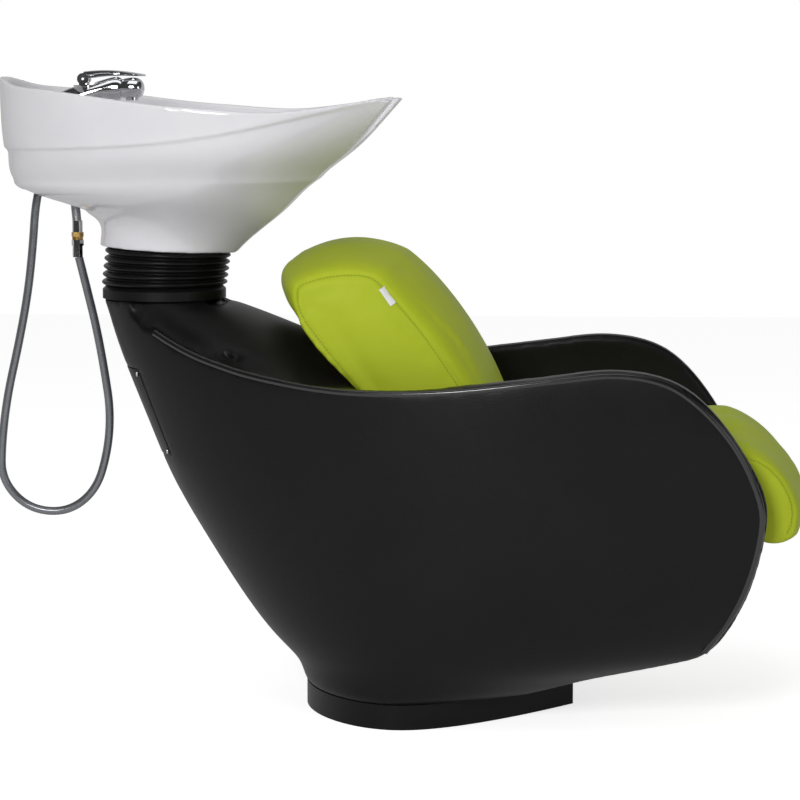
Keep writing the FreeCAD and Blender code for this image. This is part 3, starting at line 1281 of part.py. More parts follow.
# Half of the spray head's outline: place along its length, share of its radius
SPRAY_SHARES = [(0.0, 0.0), (0.0, 0.85), (0.35, 1.0), (0.7, 0.97), (0.93, 0.62), (1.0, 0.0)]


def make_spray():
    """The pull-out spray: a rounded head with a nozzle, and its stem inside the spout."""
    mouth = S.spout_reach - S.mixer_offset + S.head_gap
    points = [V(mouth + along * S.head_length, 0, S.spout_height + wide * S.head_radius)
              for along, wide in SPRAY_SHARES]
    edges = [line(points[0], points[1]), arc(points[1], points[2], points[3]),
             arc(points[3], points[4], points[5]), line(points[5], points[0])]
    head = Part.Face(Part.Wire(edges)).revolve(V(0, 0, S.spout_height), V(1, 0, 0), FULL_TURN)
    drop = V(mouth + S.nozzle_offset, 0, S.spout_height - S.nozzle_drop)
    nozzle = Part.makeCylinder(S.nozzle_radius, S.nozzle_drop, drop)
    recess = Part.makeCylinder(S.face_radius, S.face_thickness, drop)
    solid("spray_head", head.fuse(nozzle).cut(recess))
    keep(cylinder("spray_disc", C.face_radius, C.face_thickness, C.spout_reach - C.mixer_offset + C.head_gap
                  + C.nozzle_offset, 0, C.spout_height - C.nozzle_drop), "spray_face")
    stem_x = C.spout_reach - C.mixer_offset - C.stem_length + C.head_gap
    keep(cylinder("spray_tube", C.stem_radius, C.stem_length, stem_x, 0, C.spout_height, "x"), "spray_stem")


# Hose loop under the bowl

# The hose's middle line from shank to coupling: place from rear to front, height from its lowest run
HOSE_SHARES = [(0.404, 1), (0.3467, 0.9275), (0.3181, 0.8034), (0.2665, 0.6603), (0.1748, 0.5076),
               (0.0659, 0.355), (0.0086, 0.2118), (0, 0.0992), (0.2378, 0.0115), (0.5931, 0),
               (0.8625, 0.0687), (0.9713, 0.1889), (1, 0.3073), (0.9542, 0.4218), (0.8854, 0.5553),
               (0.8052, 0.6698)]
HOSE_RADIUS_SHARE = 0.45


def hose_points():
    """The hose's corner points: out of the shank, down and round its loop, and up to the ferrule."""
    points = [V(-S.mixer_offset - S.hose_shift, 0, S.deck_height - S.shank_length + S.hose_radius)]
    for along, up in HOSE_SHARES:
        points.append(V(between(-S.hose_rear, -S.hose_front, along), 0, between(S.hose_low, S.hose_high, up)))
    return points + [V(-S.coupling_offset, 0, hose_ferrule_low() + S.hose_radius)]


def hose_ferrule_low():
    return S.coupling_top - S.hex_height - S.barrel_height - S.coupling_nut_height - S.ferrule_height


def shank_form():
    """The mixer's shank, which the ends of the hoses meet from below."""
    low = V(-S.mixer_offset, 0, S.deck_height - S.shank_length)
    return Part.makeCylinder(S.shank_radius * 2, S.shank_length, low)


def sleeve_form(low):
    return Part.makeCylinder(S.ferrule_radius * 2, S.ferrule_height, V(-S.coupling_offset, 0, low))


def make_hose():
    points = hose_points()
    radii = []
    for before, corner, after in zip(points, points[1:], points[2:]):
        turn = (corner - before).getAngle(after - corner)
        shorter = min((corner - before).Length, (after - corner).Length)
        radii.append(HOSE_RADIUS_SHARE * shorter / math.tan(turn / 2))
    path = bent_wire(points, radii)
    tube = sweep_circle(path, points[0], points[1] - points[0], S.hose_radius)
    expected = math.pi * S.hose_radius ** 2 * path.Length
    print("hose bend radii", [round(radius, 1) for radius in radii])
    print("hose length", round(path.Length, 1), "volume over section times length",
          round(tube.Volume / expected, 5))
    solid("shower_hose", tube.cut(shank_form()).cut(sleeve_form(hose_ferrule_low())))


def make_hose_fittings():
    """From the mixer down: braided tail, ferrule, brass coupling, nut and the hose's own ferrule."""
    x = -C.coupling_offset
    top = C.coupling_top
    start = V(S.hose_shift - S.mixer_offset, 0, S.deck_height - S.shank_length + S.braid_radius)
    middle = V(-S.coupling_offset - S.ferrule_radius / 2, 0, S.coupling_top + S.ferrule_height * 3)
    end = V(-S.coupling_offset, 0, S.coupling_top + S.ferrule_height - S.braid_radius)
    path = bent_wire([start, middle, end], [S.tail_bend])
    tail = sweep_circle(path, start, middle - start, S.braid_radius)
    solid("braided_tail", tail.cut(shank_form()).cut(sleeve_form(S.coupling_top)))
    keep(cylinder("tail_sleeve", C.ferrule_radius, C.ferrule_height, x, 0, top), "tail_ferrule")
    hexes = hexagon("coupling_hex", C.hex_across / 2, C.hex_height, x, 0, top - C.hex_height)
    barrel_low = top - C.hex_height - C.barrel_height
    barrel = cylinder("coupling_barrel", C.coupling_radius, C.barrel_height, x, 0, barrel_low)
    keep(fuse("coupling_body", hexes, barrel), "brass_coupling")
    nut_low = barrel_low - C.coupling_nut_height
    keep(hexagon("coupling_nut_hex", C.hex_across / 2, C.coupling_nut_height, x, 0, nut_low), "coupling_nut")
    sleeve_low = nut_low - C.ferrule_height
    keep(cylinder("hose_sleeve", C.ferrule_radius, C.ferrule_height, x, 0, sleeve_low), "hose_ferrule")


def check_document():
    """Stops if any object of the document failed or any sub-part is not one or more valid solids."""
    DOC.recompute()
    for item in DOC.Objects:
        if "Invalid" in item.State or "Error" in item.State:
            raise RuntimeError(f"{item.Name} failed: {item.State}")
    for item in NODES:
        if item.Shape.isNull() or not item.Shape.isValid() or not item.Shape.Solids:
            raise RuntimeError(f"{item.Label} has no valid solid")


def write_parts():
    os.makedirs("parts", exist_ok=True)
    for item in NODES:
        item.Shape.exportStep(f"parts/{item.Label}.step")
        print(item.Label, len(item.Shape.Solids), round(item.Shape.Volume / 1000, 2))


make_base()
make_frame()
make_shell()
make_shell_bolts()
make_seat_board()
make_seat_cushion()
make_back_board()
make_back_cushion()
make_board_bolts()
make_collar()
make_bellows()
make_tilt_hinge()
make_pins()
make_bowl()
make_bowl_fixings()
make_drain()
make_strainer()
make_mixer()
make_mixer_fixings()
make_lever()
make_spray()
make_hose()
make_hose_fittings()
check_document()
write_parts()
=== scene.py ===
# %% [markdown]
# # A salon backwash unit
# The unit is a black moulded bucket seat on a plinth, with two green cushions, a rubber bellows neck and a white
# ceramic wash bowl. The solids are already in place; this lesson gives them rounded edges, padding, stitching,
# a smooth hose and finishes that show their grain. All lengths are in metres, in the frame of the solids.

# %% Load the frame
import json
import math
import bpy
import bmesh
from mathutils import Matrix, Vector
from mathutils.bvhtree import BVHTree
from mathutils.kdtree import KDTree


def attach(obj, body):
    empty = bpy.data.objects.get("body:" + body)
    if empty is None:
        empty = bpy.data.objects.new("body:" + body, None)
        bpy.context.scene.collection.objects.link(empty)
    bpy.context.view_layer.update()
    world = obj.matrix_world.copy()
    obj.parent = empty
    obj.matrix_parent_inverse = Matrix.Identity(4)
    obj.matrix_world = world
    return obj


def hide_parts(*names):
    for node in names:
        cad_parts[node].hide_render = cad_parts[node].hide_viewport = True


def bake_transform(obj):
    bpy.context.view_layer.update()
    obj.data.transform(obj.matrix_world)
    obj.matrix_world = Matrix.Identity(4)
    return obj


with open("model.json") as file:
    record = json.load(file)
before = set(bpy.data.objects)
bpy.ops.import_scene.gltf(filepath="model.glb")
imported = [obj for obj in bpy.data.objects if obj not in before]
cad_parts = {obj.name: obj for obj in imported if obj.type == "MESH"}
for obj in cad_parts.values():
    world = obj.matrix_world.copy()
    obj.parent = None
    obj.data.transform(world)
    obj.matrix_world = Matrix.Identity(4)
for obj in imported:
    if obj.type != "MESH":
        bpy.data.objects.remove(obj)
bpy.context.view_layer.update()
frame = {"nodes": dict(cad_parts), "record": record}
nodes = frame["nodes"]
scene = bpy.context.scene
scene.view_settings.view_transform = "Standard"

# %% [markdown]
# ## The camera
# The picture was taken from the sitter's right, a little above the rim of the bowl and far away, so that the arms
# hardly converge. A long lens from over four metres gives the same flat view; a short lens close by would swell
# the near arm. The camera looks along +Y, turned a few degrees, and slightly down.

# %% Camera
VIEW_TURN = math.radians(2.742)
VIEW_DIP = math.radians(6.681)

lens = bpy.data.cameras.new("side_camera")
lens.lens = 126
lens.sensor_width = 36
camera = bpy.data.objects.new("side_camera", lens)
scene.collection.objects.link(camera)
camera.location = (0.146, -4.340, 0.985)
camera.rotation_euler = (math.radians(90) - VIEW_DIP, 0, VIEW_TURN)
scene.camera = camera
print("camera at", [round(v, 3) for v in camera.location])

# %% [markdown]
# ## The hose loop
# A hose leaves the mixer's shank, hangs in a long loop behind the unit and comes back up to a brass coupling. It
# could be a chain of arcs, but a real hose has no corners, so its line is one NURBS curve whose control points are
# those of the solid's route. Its round section is the curve's own bevel.

# %% Hose
HOSE_POINTS = [(-609.1, 843), (-621, 818), (-631, 780), (-636, 715), (-645, 640), (-661, 560), (-680, 480),
               (-690, 405), (-691.5, 346), (-650, 300), (-588, 294), (-541, 330), (-522, 393), (-517, 455),
               (-525, 515), (-537, 585), (-551, 645), (-563.9, 698)]
MM = 0.001
HOSE_RADIUS = 0.0065

hose_line = bpy.data.curves.new("shower_hose_line", "CURVE")
hose_line.dimensions = "3D"
hose_line.bevel_depth = 1
hose_line.bevel_resolution = 5
hose_line.use_fill_caps = True
hose_line.resolution_u = 10
spline = hose_line.splines.new("NURBS")
spline.points.add(len(HOSE_POINTS) - 1)
for point, (x, z) in zip(spline.points, HOSE_POINTS):
    point.co = (x * MM, 0, z * MM, 1)
    point.radius = HOSE_RADIUS
spline.order_u = 3
spline.use_endpoint_u = True
hose = bpy.data.objects.new("hose_loop", hose_line)
scene.collection.objects.link(hose)
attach(hose, "bowl")
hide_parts("shower_hose")
print("hose control points", len(HOSE_POINTS))

# %% [markdown]
# ## Tools for the pieces
# Most pieces start as a copy of a solid: its loose triangles are merged, wrapped in an even skin of small quads
# and eased, which rounds every edge as moulding and glazing do. Bevelling the solid's own edges would stop at its
# first thin triangle. Every operator acts on what is selected, so one helper selects a single piece first.

# %% Helpers
def pick(piece):
    """Selects one piece alone and makes it active."""
    if bpy.context.object and bpy.context.object.mode != "OBJECT":
        bpy.ops.object.mode_set(mode="OBJECT")
    bpy.ops.object.select_all(action="DESELECT")
    piece.select_set(True)
    bpy.context.view_layer.objects.active = piece


def finish_modifiers(piece):
    """Applies every modifier in order."""
    pick(piece)
    for name in [modifier.name for modifier in piece.modifiers]:
        bpy.ops.object.modifier_apply(modifier=name)


def copy_of(node, name):
    """A new piece with a merged copy of a solid's mesh."""
    piece = bpy.data.objects.new(name, nodes[node].data.copy())
    piece.data.name = name
    piece.data.materials.clear()
    scene.collection.objects.link(piece)
    pick(piece)
    if piece.data.has_custom_normals:
        bpy.ops.mesh.customdata_custom_splitnormals_clear()
    bpy.ops.object.mode_set(mode="EDIT")
    bpy.ops.mesh.select_all(action="SELECT")
    bpy.ops.mesh.remove_doubles(threshold=0.00002)
    bpy.ops.object.mode_set(mode="OBJECT")
    return piece


def even_skin(piece, cell, ease, rounds):
    """Wraps a piece in quads of one size and eases them."""
    wrap = piece.modifiers.new("wrap", "REMESH")
    wrap.mode = "VOXEL"
    wrap.voxel_size = cell
    wrap.use_smooth_shade = True
    soft = piece.modifiers.new("ease", "SMOOTH")
    soft.factor = ease
    soft.iterations = rounds
    finish_modifiers(piece)
    return piece


def settle(piece, body, slot, *replaced):
    """Lets a finished piece ride on a body and stand for its solids; the slot is not used."""
    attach(piece, body)
    if replaced:
        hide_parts(*replaced)
    print(piece.name, "faces", len(piece.data.polygons), "on", body)


def evenly(points, gap):
    """The same line as points a set distance apart, each with its direction."""
    marks = []
    spare = 0
    for first, second in zip(points, points[1:]):
        run = second - first
        along = spare
        while along < run.length:
            marks.append((first + run.normalized() * along, run.normalized()))
            along += gap
        spare = along - run.length
    return marks


# %% [markdown]
# ## The seat shell
# The shell is one rotation-moulded skin: broad satin sides, a sunken rim that sweeps from the neck down to the
# arms, and rounded edges everywhere. An even skin over the solid gives those soft edges. Thin walls would tear such
# a skin, so the hollow, which is never seen, is first filled with a core. The valley between the rim and the dome
# is eased once more, because a mould leaves no ripple there, and the skin is thinned out a little at the end.

# %% Seat shell
RIM_LINE = [(-434, 595), (-386, 568), (-330, 552), (-290, 541), (-240, 533), (-197, 527), (-160, 524), (-122, 522),
            (-48, 523), (25, 528), (98, 536.5), (140, 542), (185, 547), (222, 551), (257, 555), (300, 552),
            (330, 545), (357, 535), (388, 512), (415, 486), (440, 455), (459, 424), (474, 391), (486, 355),
            (486.5, 325), (477, 273), (464, 226), (444, 178), (409, 125)]


def tree_of(*pieces):
    """A search tree over the faces of several pieces."""
    spots, faces = [], []
    for piece in pieces:
        start = len(spots)
        spots += [vertex.co.copy() for vertex in piece.data.vertices]
        faces += [[start + index for index in face.vertices] for face in piece.data.polygons]
    return BVHTree.FromPolygons(spots, faces)


def rim_spots(tree, side):
    """Places on the shell's outer wall just under the rim, each with the way into the wall's side view."""
    spots = []
    for x, z in RIM_LINE:
        inward = (Vector((0.1, 0, 0.3)) - Vector((x * MM, 0, z * MM))).normalized()
        start = Vector((x * MM, side, z * MM)) + inward * 0.011
        hit = tree.ray_cast(start, Vector((0, -side, 0)))[0]
        if hit:
            spots.append((hit, inward))
    return spots


CORE_PLACES = [(0.052, -0.02), (0.075, -0.02), (0.10, -0.01), (0.14, 0.0), (0.18, 0.0), (0.22, 0.0), (0.26, -0.02),
               (0.30, -0.04), (0.328, -0.06), (0.352, -0.16), (0.38, -0.18), (0.41, -0.20), (0.44, -0.23),
               (0.47, -0.255), (0.50, -0.28), (0.525, -0.305), (0.55, -0.33), (0.575, -0.36), (0.60, -0.40),
               (0.62, -0.425)]
CORE_SIDES = 120
CORE_SKIN = 0.0035


def wall_reach(tree, start, ray):
    """How far the outside of the wall lies from a place in the hollow."""
    inner = tree.ray_cast(start, ray)
    if inner[0] is None:
        return None
    outer = tree.ray_cast(inner[0] + ray * 0.0005, ray)
    return inner[3] + 0.0005 + outer[3] if outer[0] else None


def shell_core(tree):
    """A solid that fills the shell's hollow up to just under its outer face, ring by ring."""
    bpy.ops.object.select_all(action="DESELECT")
    bpy.ops.mesh.primitive_circle_add(vertices=CORE_SIDES, radius=1, fill_type="NGON")
    core = bpy.context.object
    bpy.ops.object.mode_set(mode="EDIT")
    bpy.ops.mesh.select_all(action="SELECT")
    for _ in CORE_PLACES[1:]:
        bpy.ops.mesh.extrude_region_move()
    bpy.ops.object.mode_set(mode="OBJECT")
    rays = [vertex.co.normalized() for vertex in core.data.vertices[:CORE_SIDES]]
    for ring, (z, x) in enumerate(CORE_PLACES):
        start = Vector((x, 0, z))
        last = 0.05
        for step, ray in enumerate(rays):
            reach = wall_reach(tree, start, ray)
            last = max(0.02, reach - CORE_SKIN) if reach else last
            core.data.vertices[ring * CORE_SIDES + step].co = start + ray * last
    pick(core)
    bpy.ops.object.mode_set(mode="EDIT")
    bpy.ops.mesh.select_all(action="SELECT")
    bpy.ops.mesh.normals_make_consistent(inside=False)
    bpy.ops.object.mode_set(mode="OBJECT")
    return core


shell = copy_of("shell", "seat_shell")
core = shell_core(tree_of(shell))
bpy.ops.object.select_all(action="DESELECT")
core.select_set(True)
shell.select_set(True)
bpy.context.view_layer.objects.active = shell
bpy.ops.object.join()
even_skin(shell, 0.005, 0.5, 9)
shell_tree = tree_of(shell)
RIMS = {side: rim_spots(shell_tree, side) for side in (-1, 1)}
print("rim places", [len(spots) for spots in RIMS.values()])

# %% Ease the valley behind the rim
rim_marks = [mark for spots in RIMS.values() for mark, _ in evenly([spot for spot, _ in spots], 0.004)]
near_rim = KDTree(len(rim_marks))
for index, mark in enumerate(rim_marks):
    near_rim.insert(mark, index)
near_rim.balance()
valley = shell.vertex_groups.new(name="valley")
for vertex in shell.data.vertices:
    spot = vertex.co
    if vertex.normal.z > 0.05 and spot.x < 0.02 and 0.46 < spot.z < 0.632:
        share = min(1, max(0, (near_rim.find(spot)[2] - 0.011) / 0.012))
        valley.add([vertex.index], share, "REPLACE")
soft = shell.modifiers.new("valley", "SMOOTH")
soft.vertex_group = "valley"
soft.factor = 0.6
soft.iterations = 60
thin = shell.modifiers.new("thin", "DECIMATE")
thin.ratio = 0.85
finish_modifiers(shell)
bpy.ops.object.shade_smooth()
settle(shell, "stand", "black_moulding", "shell")

# %% [markdown]
# ## The rolled lip of the arms
# A thin bead runs along the outer top edge of both arms and catches two lines of light. It could be a bevel of the
# shell, but it is finer than the skin's quads, so it is a tube of its own, along the places found under the rim.

# %% Rolled lip
LIP_RADIUS = 0.0055


def lip_curve(side):
    """A tube along one arm's outer edge, sunk into the shell by a little over half."""
    line = bpy.data.curves.new("lip_line", "CURVE")
    line.dimensions = "3D"
    line.bevel_depth = LIP_RADIUS
    line.bevel_resolution = 3
    line.use_fill_caps = True
    line.resolution_u = 6
    path = line.splines.new("NURBS")
    path.points.add(len(RIMS[side]) - 1)
    for point, (spot, inward) in zip(path.points, RIMS[side]):
        point.co = (*(spot - Vector((0, side * LIP_RADIUS * 0.55, 0)) - inward * 0.004), 1)
    path.order_u = 4
    path.use_endpoint_u = True
    return bpy.data.objects.new("lip", line)


lips = []
for side in (-1, 1):
    piece = lip_curve(side)
    scene.collection.objects.link(piece)
    pick(piece)
    bpy.ops.object.convert(target="MESH")
    lips.append(bpy.context.object)
bpy.ops.object.select_all(action="DESELECT")
for piece in lips:
    piece.select_set(True)
bpy.context.view_layer.objects.active = lips[0]
bpy.ops.object.join()
rim_lip = bpy.context.object
rim_lip.name = "arm_lips"
bpy.ops.object.shade_smooth()
settle(rim_lip, "stand", "black_moulding")

# %% [markdown]
# ## The wash bowl
# The bowl is thick glazed ceramic: every edge is drawn round by the glaze, and a soft step under the rim makes a
# band that narrows towards the horns. A fine skin over the solid gives those edges; it is thinned out afterwards,
# since the broad faces need few quads.

# %% Wash bowl
bowl = even_skin(copy_of("bowl", "wash_bowl"), 0.0025, 0.5, 9)
thin = bowl.modifiers.new("thin", "DECIMATE")
thin.ratio = 0.42
finish_modifiers(bowl)
bpy.ops.object.shade_smooth()
settle(bowl, "bowl", "white_glaze", "bowl")

# %% [markdown]
# ## The cushions
# Both cushions are foam under a stretched cover: a flat side panel, a sewn edge all round it, and a crowned front
# that swells between the seams. Each starts from its solid, drawn in a little, and is blown up as cloth under
# pressure until the cover is taut; how far a point may travel is capped, so that it stays in its seat. The sewn
# edge is pressed in afterwards, where the thread pulls the cover down, and the stitches are laid on it.

# %% Padding
def draw_in(piece, room):
    """Shrinks a piece where its cover is free to swell again."""
    moves = [vertex.normal * room(vertex.co) * 0.25 for vertex in piece.data.vertices]
    for vertex, move in zip(piece.data.vertices, moves):
        vertex.co -= move


def swell(piece, pressure, cap):
    """Blows a piece up as cloth, held where it rests, and caps how far each point travels outwards."""
    held = piece.vertex_groups.new(name="held")
    held.add([vertex.index for vertex in piece.data.vertices if cap(vertex.co) == 0], 1, "REPLACE")
    draw_in(piece, cap)
    before = [(vertex.co.copy(), vertex.normal.copy()) for vertex in piece.data.vertices]
    cloth = piece.modifiers.new("cover", "CLOTH")
    cloth.settings.vertex_group_mass = "held"
    cloth.settings.quality = 4
    cloth.settings.mass = 0.3
    cloth.settings.tension_stiffness = 20
    cloth.settings.compression_stiffness = 20
    cloth.settings.bending_stiffness = 2
    cloth.settings.use_pressure = True
    cloth.settings.uniform_pressure_force = pressure
    cloth.settings.effector_weights.gravity = 0
    cloth.point_cache.frame_start = 1
    cloth.point_cache.frame_end = 20
    for step in range(1, 21):
        scene.frame_set(step)
    finish_modifiers(piece)
    scene.frame_set(1)
    for vertex, (old, out) in zip(piece.data.vertices, before):
        reach = (vertex.co - old).dot(out)
        room = cap(old)
        vertex.co = old + out * (room * math.tanh(max(0, reach) / room) if room else 0)


def rounded(points):
    """A line with its corners cut off twice."""
    for _ in range(2):
        inner = [first.lerp(second, share) for first, second in zip(points, points[1:]) for share in (0.25, 0.75)]
        points = [points[0], *inner, points[-1]]
    return points


def laid(cover, points):
    """A line brought onto a cover."""
    return [cover.closest_point_on_mesh(spot)[1] for spot in points]


def press_seam(piece, lines, depth, width):
    """Presses a groove into a piece along its sewn lines."""
    spots = [spot for points in lines for spot, _ in evenly(points, 0.002)]
    near = KDTree(len(spots))
    for index, spot in enumerate(spots):
        near.insert(spot, index)
    near.balance()
    for vertex in piece.data.vertices:
        gap = near.find(vertex.co)[2]
        if gap < width * 3:
            vertex.co -= vertex.normal * depth * math.exp(-(gap / width) ** 2)


# %% [markdown]
# ### Stitches
# A stitch is a short thread that dips into the cover at both ends. One is a small sphere drawn long and flat; the
# seam is that one mesh set down again and again along the sewn line, turned along it and laid on the cover.

# %% Stitches
STITCH_GAP = 0.0052
STITCH_LENGTH = 0.0038
STITCH_RADIUS = 0.00075


def stitch_mesh():
    """One stitch along X: a sphere of few faces, drawn long."""
    bpy.ops.object.select_all(action="DESELECT")
    bpy.ops.mesh.primitive_uv_sphere_add(segments=6, ring_count=5, radius=STITCH_RADIUS)
    piece = bpy.context.object
    bpy.ops.object.mode_set(mode="EDIT")
    bpy.ops.mesh.select_all(action="SELECT")
    bpy.ops.transform.rotate(value=math.radians(90), orient_axis="Y", center_override=(0, 0, 0))
    bpy.ops.transform.resize(value=(STITCH_LENGTH / STITCH_RADIUS / 2, 1, 0.8), center_override=(0, 0, 0))
    bpy.ops.object.mode_set(mode="OBJECT")
    mesh = piece.data
    bpy.data.objects.remove(piece)
    return mesh


def sew(name, cover, lines):
    """Lays stitches on a cover along sewn lines."""
    thread = stitch_mesh()
    work = bmesh.new()
    count = 0
    for points in lines:
        for spot, along in evenly(points, STITCH_GAP):
            found, place, up, _ = cover.closest_point_on_mesh(spot)
            side = up.cross(along).normalized()
            ahead = side.cross(up).normalized()
            turn = Matrix((ahead, side, up)).transposed().to_4x4()
            turn.translation = place + up * STITCH_RADIUS * 0.25
            start = len(work.verts)
            work.from_mesh(thread)
            work.verts.ensure_lookup_table()
            bmesh.ops.transform(work, matrix=turn, verts=work.verts[start:])
            count += 1
    piece = bpy.data.objects.new(name, bpy.data.meshes.new(name))
    work.to_mesh(piece.data)
    work.free()
    scene.collection.objects.link(piece)
    pick(piece)
    bpy.ops.object.shade_smooth()
    print(name, "stitches", count)
    return piece


# %% [markdown]
# ### The back cushion
# The backrest leans back by 34 degrees. Its side panels are flat and end in a sewn edge that runs up the rear,
# over the top and down the front; between them the cover is crowned. Its foot and its rear rest on the shell. The
# head is padded out first, so that the rear runs straight down from it without a dip at the nape.

# %% Back cushion
LEAN = math.radians(34.1)
BACK_HEIGHT = 0.372
BACK_DEPTH = 0.131
BACK_HALF = 0.210


def back_place(up, out, y):
    """A place of the backrest: up along its lean, out from the shell's wall."""
    return Vector((0.001 - up * math.sin(LEAN) + out * math.cos(LEAN), y,
                   0.345 + up * math.cos(LEAN) + out * math.sin(LEAN)))


BACK_SEAM_SHARES = [(0.12, 0.03), (0.45, 0.01), (0.76, -0.06), (0.92, -0.08), (1.0, -0.04), (1.05, 0.0), (1.06, 0.08),
                    (1.045, 0.25), (1.014, 0.504), (0.954, 0.787), (0.914, 0.887), (0.867, 0.933), (0.807, 0.945),
                    (0.691, 0.977), (0.572, 1.0), (0.453, 1.0), (0.34, 0.99), (0.15, 0.98)]


def back_room(spot):
    """How far the cover may travel: nothing at the rear wall and the foot, most on the crown."""
    up = -(spot.x - 0.001) * math.sin(LEAN) + (spot.z - 0.345) * math.cos(LEAN)
    out = (spot.x - 0.001) * math.cos(LEAN) + (spot.z - 0.345) * math.sin(LEAN)
    if out < 0.02 and up < 0.34:
        return 0
    return 0.008 * min(1, max(0, (up - 0.02) / 0.05))


def ease_in(value, low, high):
    """0 below a range, 1 above it, and a soft rise between."""
    share = min(1, max(0, (value - low) / (high - low)))
    return share * share * (3 - 2 * share)


def fill_head(piece):
    """Pads the head of the backrest: its rear stands out over the nape and its top is a little higher."""
    outward = Vector((math.cos(LEAN), 0, math.sin(LEAN)))
    upward = Vector((-math.sin(LEAN), 0, math.cos(LEAN)))
    for vertex in piece.data.vertices:
        spot = vertex.co - Vector((0.001, 0, 0.345))
        up = spot.dot(upward) / BACK_HEIGHT
        out = spot.dot(outward) / BACK_DEPTH
        rear = 0.019 * ease_in(up, 0.45, 0.84) * (1 - ease_in(out, 0.0, 0.8)) * (1 - ease_in(up, 0.88, 1.02))
        vertex.co += upward * 0.006 * ease_in(up, 0.75, 1.0) - outward * rear


back = even_skin(copy_of("back_cushion", "back_pad"), 0.007, 0.4, 3)
fill_head(back)
swell(back, 4, back_room)
thick = back.modifiers.new("finer", "SUBSURF")
thick.levels = thick.render_levels = 1
finish_modifiers(back)
back_seams = [laid(back, rounded([back_place(up * BACK_HEIGHT, out * BACK_DEPTH, side * BACK_HALF)
                                  for up, out in BACK_SEAM_SHARES])) for side in (-1, 1)]
press_seam(back, back_seams, 0.0022, 0.0035)
pick(back)
bpy.ops.object.shade_smooth()
settle(back, "stand", "green_leatherette", "back_cushion")

# %% Back stitching
def inset_line(points, middle, step):
    """A sewn line moved towards the middle of its panel."""
    return [spot + (middle - spot).normalized() * step for spot in points]


back_rows = []
for side, points in zip((-1, 1), back_seams):
    heart = back_place(BACK_HEIGHT * 0.5, BACK_DEPTH * 0.5, side * BACK_HALF)
    back_rows.append(inset_line(points, heart, 0.0035))
back_thread = sew("back_stitching", back, back_rows)
settle(back_thread, "stand", "green_leatherette")

# %% [markdown]
# ### The seat cushion
# The seat pad lies on its board, rolls over the front and ends under it. Its side panels are flat like those of
# the back, with the same sewn edge.

# %% Seat cushion
SEAT_HALF = 0.250


def seat_room(spot):
    """How far the cover may travel: nothing on the board, most on the crown and the front."""
    if spot.z < 0.372 and spot.x < 0.482:
        return 0
    return 0.007 * min(1, max(0, (spot.x - 0.10) / 0.06))


seat = even_skin(copy_of("seat_cushion", "seat_pad"), 0.007, 0.4, 3)
swell(seat, 4, seat_room)
thick = seat.modifiers.new("finer", "SUBSURF")
thick.levels = thick.render_levels = 1
finish_modifiers(seat)
SEAT_SEAM = [(0.110, 0.402), (0.283, 0.4145), (0.43, 0.4265), (0.4627, 0.427), (0.4787, 0.4256), (0.4993, 0.4191),
             (0.5126, 0.4081), (0.523, 0.3933), (0.5306, 0.3771), (0.5338, 0.3578), (0.5334, 0.3385), (0.5308, 0.3206),
             (0.523, 0.3072)]
seat_seams = [laid(seat, rounded([Vector((x, side * SEAT_HALF, z)) for x, z in SEAT_SEAM])) for side in (-1, 1)]
press_seam(seat, seat_seams, 0.0022, 0.0035)
pick(seat)
bpy.ops.object.shade_smooth()
settle(seat, "stand", "green_leatherette", "seat_cushion")

# %% Seat stitching
seat_rows = []
for side, points in zip((-1, 1), seat_seams):
    seat_rows.append(inset_line(points, Vector((0.40, side * SEAT_HALF, 0.30)), 0.0035))
seat_thread = sew("seat_stitching", seat, seat_rows)
settle(seat_thread, "stand", "green_leatherette")

# %% [markdown]
# ### The sewn-in tab
# A small white tab is caught in the backrest's front seam. It is bare. A plane is cut to its size, given a
# thickness, and laid on the side panel beside the seam.

# %% Sewn-in tab
TAB_UP = 0.297
TAB_OUT = 0.116
bpy.ops.object.select_all(action="DESELECT")
bpy.ops.mesh.primitive_plane_add(size=1)
tab = bpy.context.object
tab.name = "sewn_tab"
bpy.ops.object.mode_set(mode="EDIT")
bpy.ops.mesh.select_all(action="SELECT")
bpy.ops.transform.resize(value=(0.011, 0.030, 1), center_override=(0, 0, 0))
bpy.ops.mesh.subdivide(number_cuts=8)
bpy.ops.object.mode_set(mode="OBJECT")
_, place, up, _ = back.closest_point_on_mesh(back_place(TAB_UP, TAB_OUT, -BACK_HALF))
along = (back_place(1, 0, 0) - back_place(0, 0, 0)).normalized()
across = along.cross(up).normalized()
turn = Matrix((across, up.cross(across).normalized(), up)).transposed().to_4x4()
turn.translation = place + up * 0.001
tab.data.transform(turn)
hug = tab.modifiers.new("hug", "SHRINKWRAP")
hug.target = back
hug.wrap_mode = "ABOVE_SURFACE"
hug.offset = 0.0006
wall = tab.modifiers.new("cloth", "SOLIDIFY")
wall.thickness = 0.0009
wall.offset = 1
finish_modifiers(tab)
settle(tab, "stand", "white_glaze")

# %% [markdown]
# ## The bellows
# A black rubber bellows closes the neck; on the real unit it folds as the bowl tilts. A circle is pulled up ring by
# ring, wide at each fold and narrow between, then softened. Its rings tilt a little more from the collar up to the
# bowl's foot.

# %% Bellows
FOLDS = 5
BELLOWS_LOW = Vector((-0.430, 0, 0.655))
BELLOWS_HIGH = Vector((-0.423, 0, 0.7117))
FOOT_TILT = math.radians(2.9)
FOLD_RINGS = [(0.0, 0.0895), (0.16, 0.0945), (0.36, 0.0975), (0.5, 0.0980), (0.64, 0.0975), (0.84, 0.0945)]

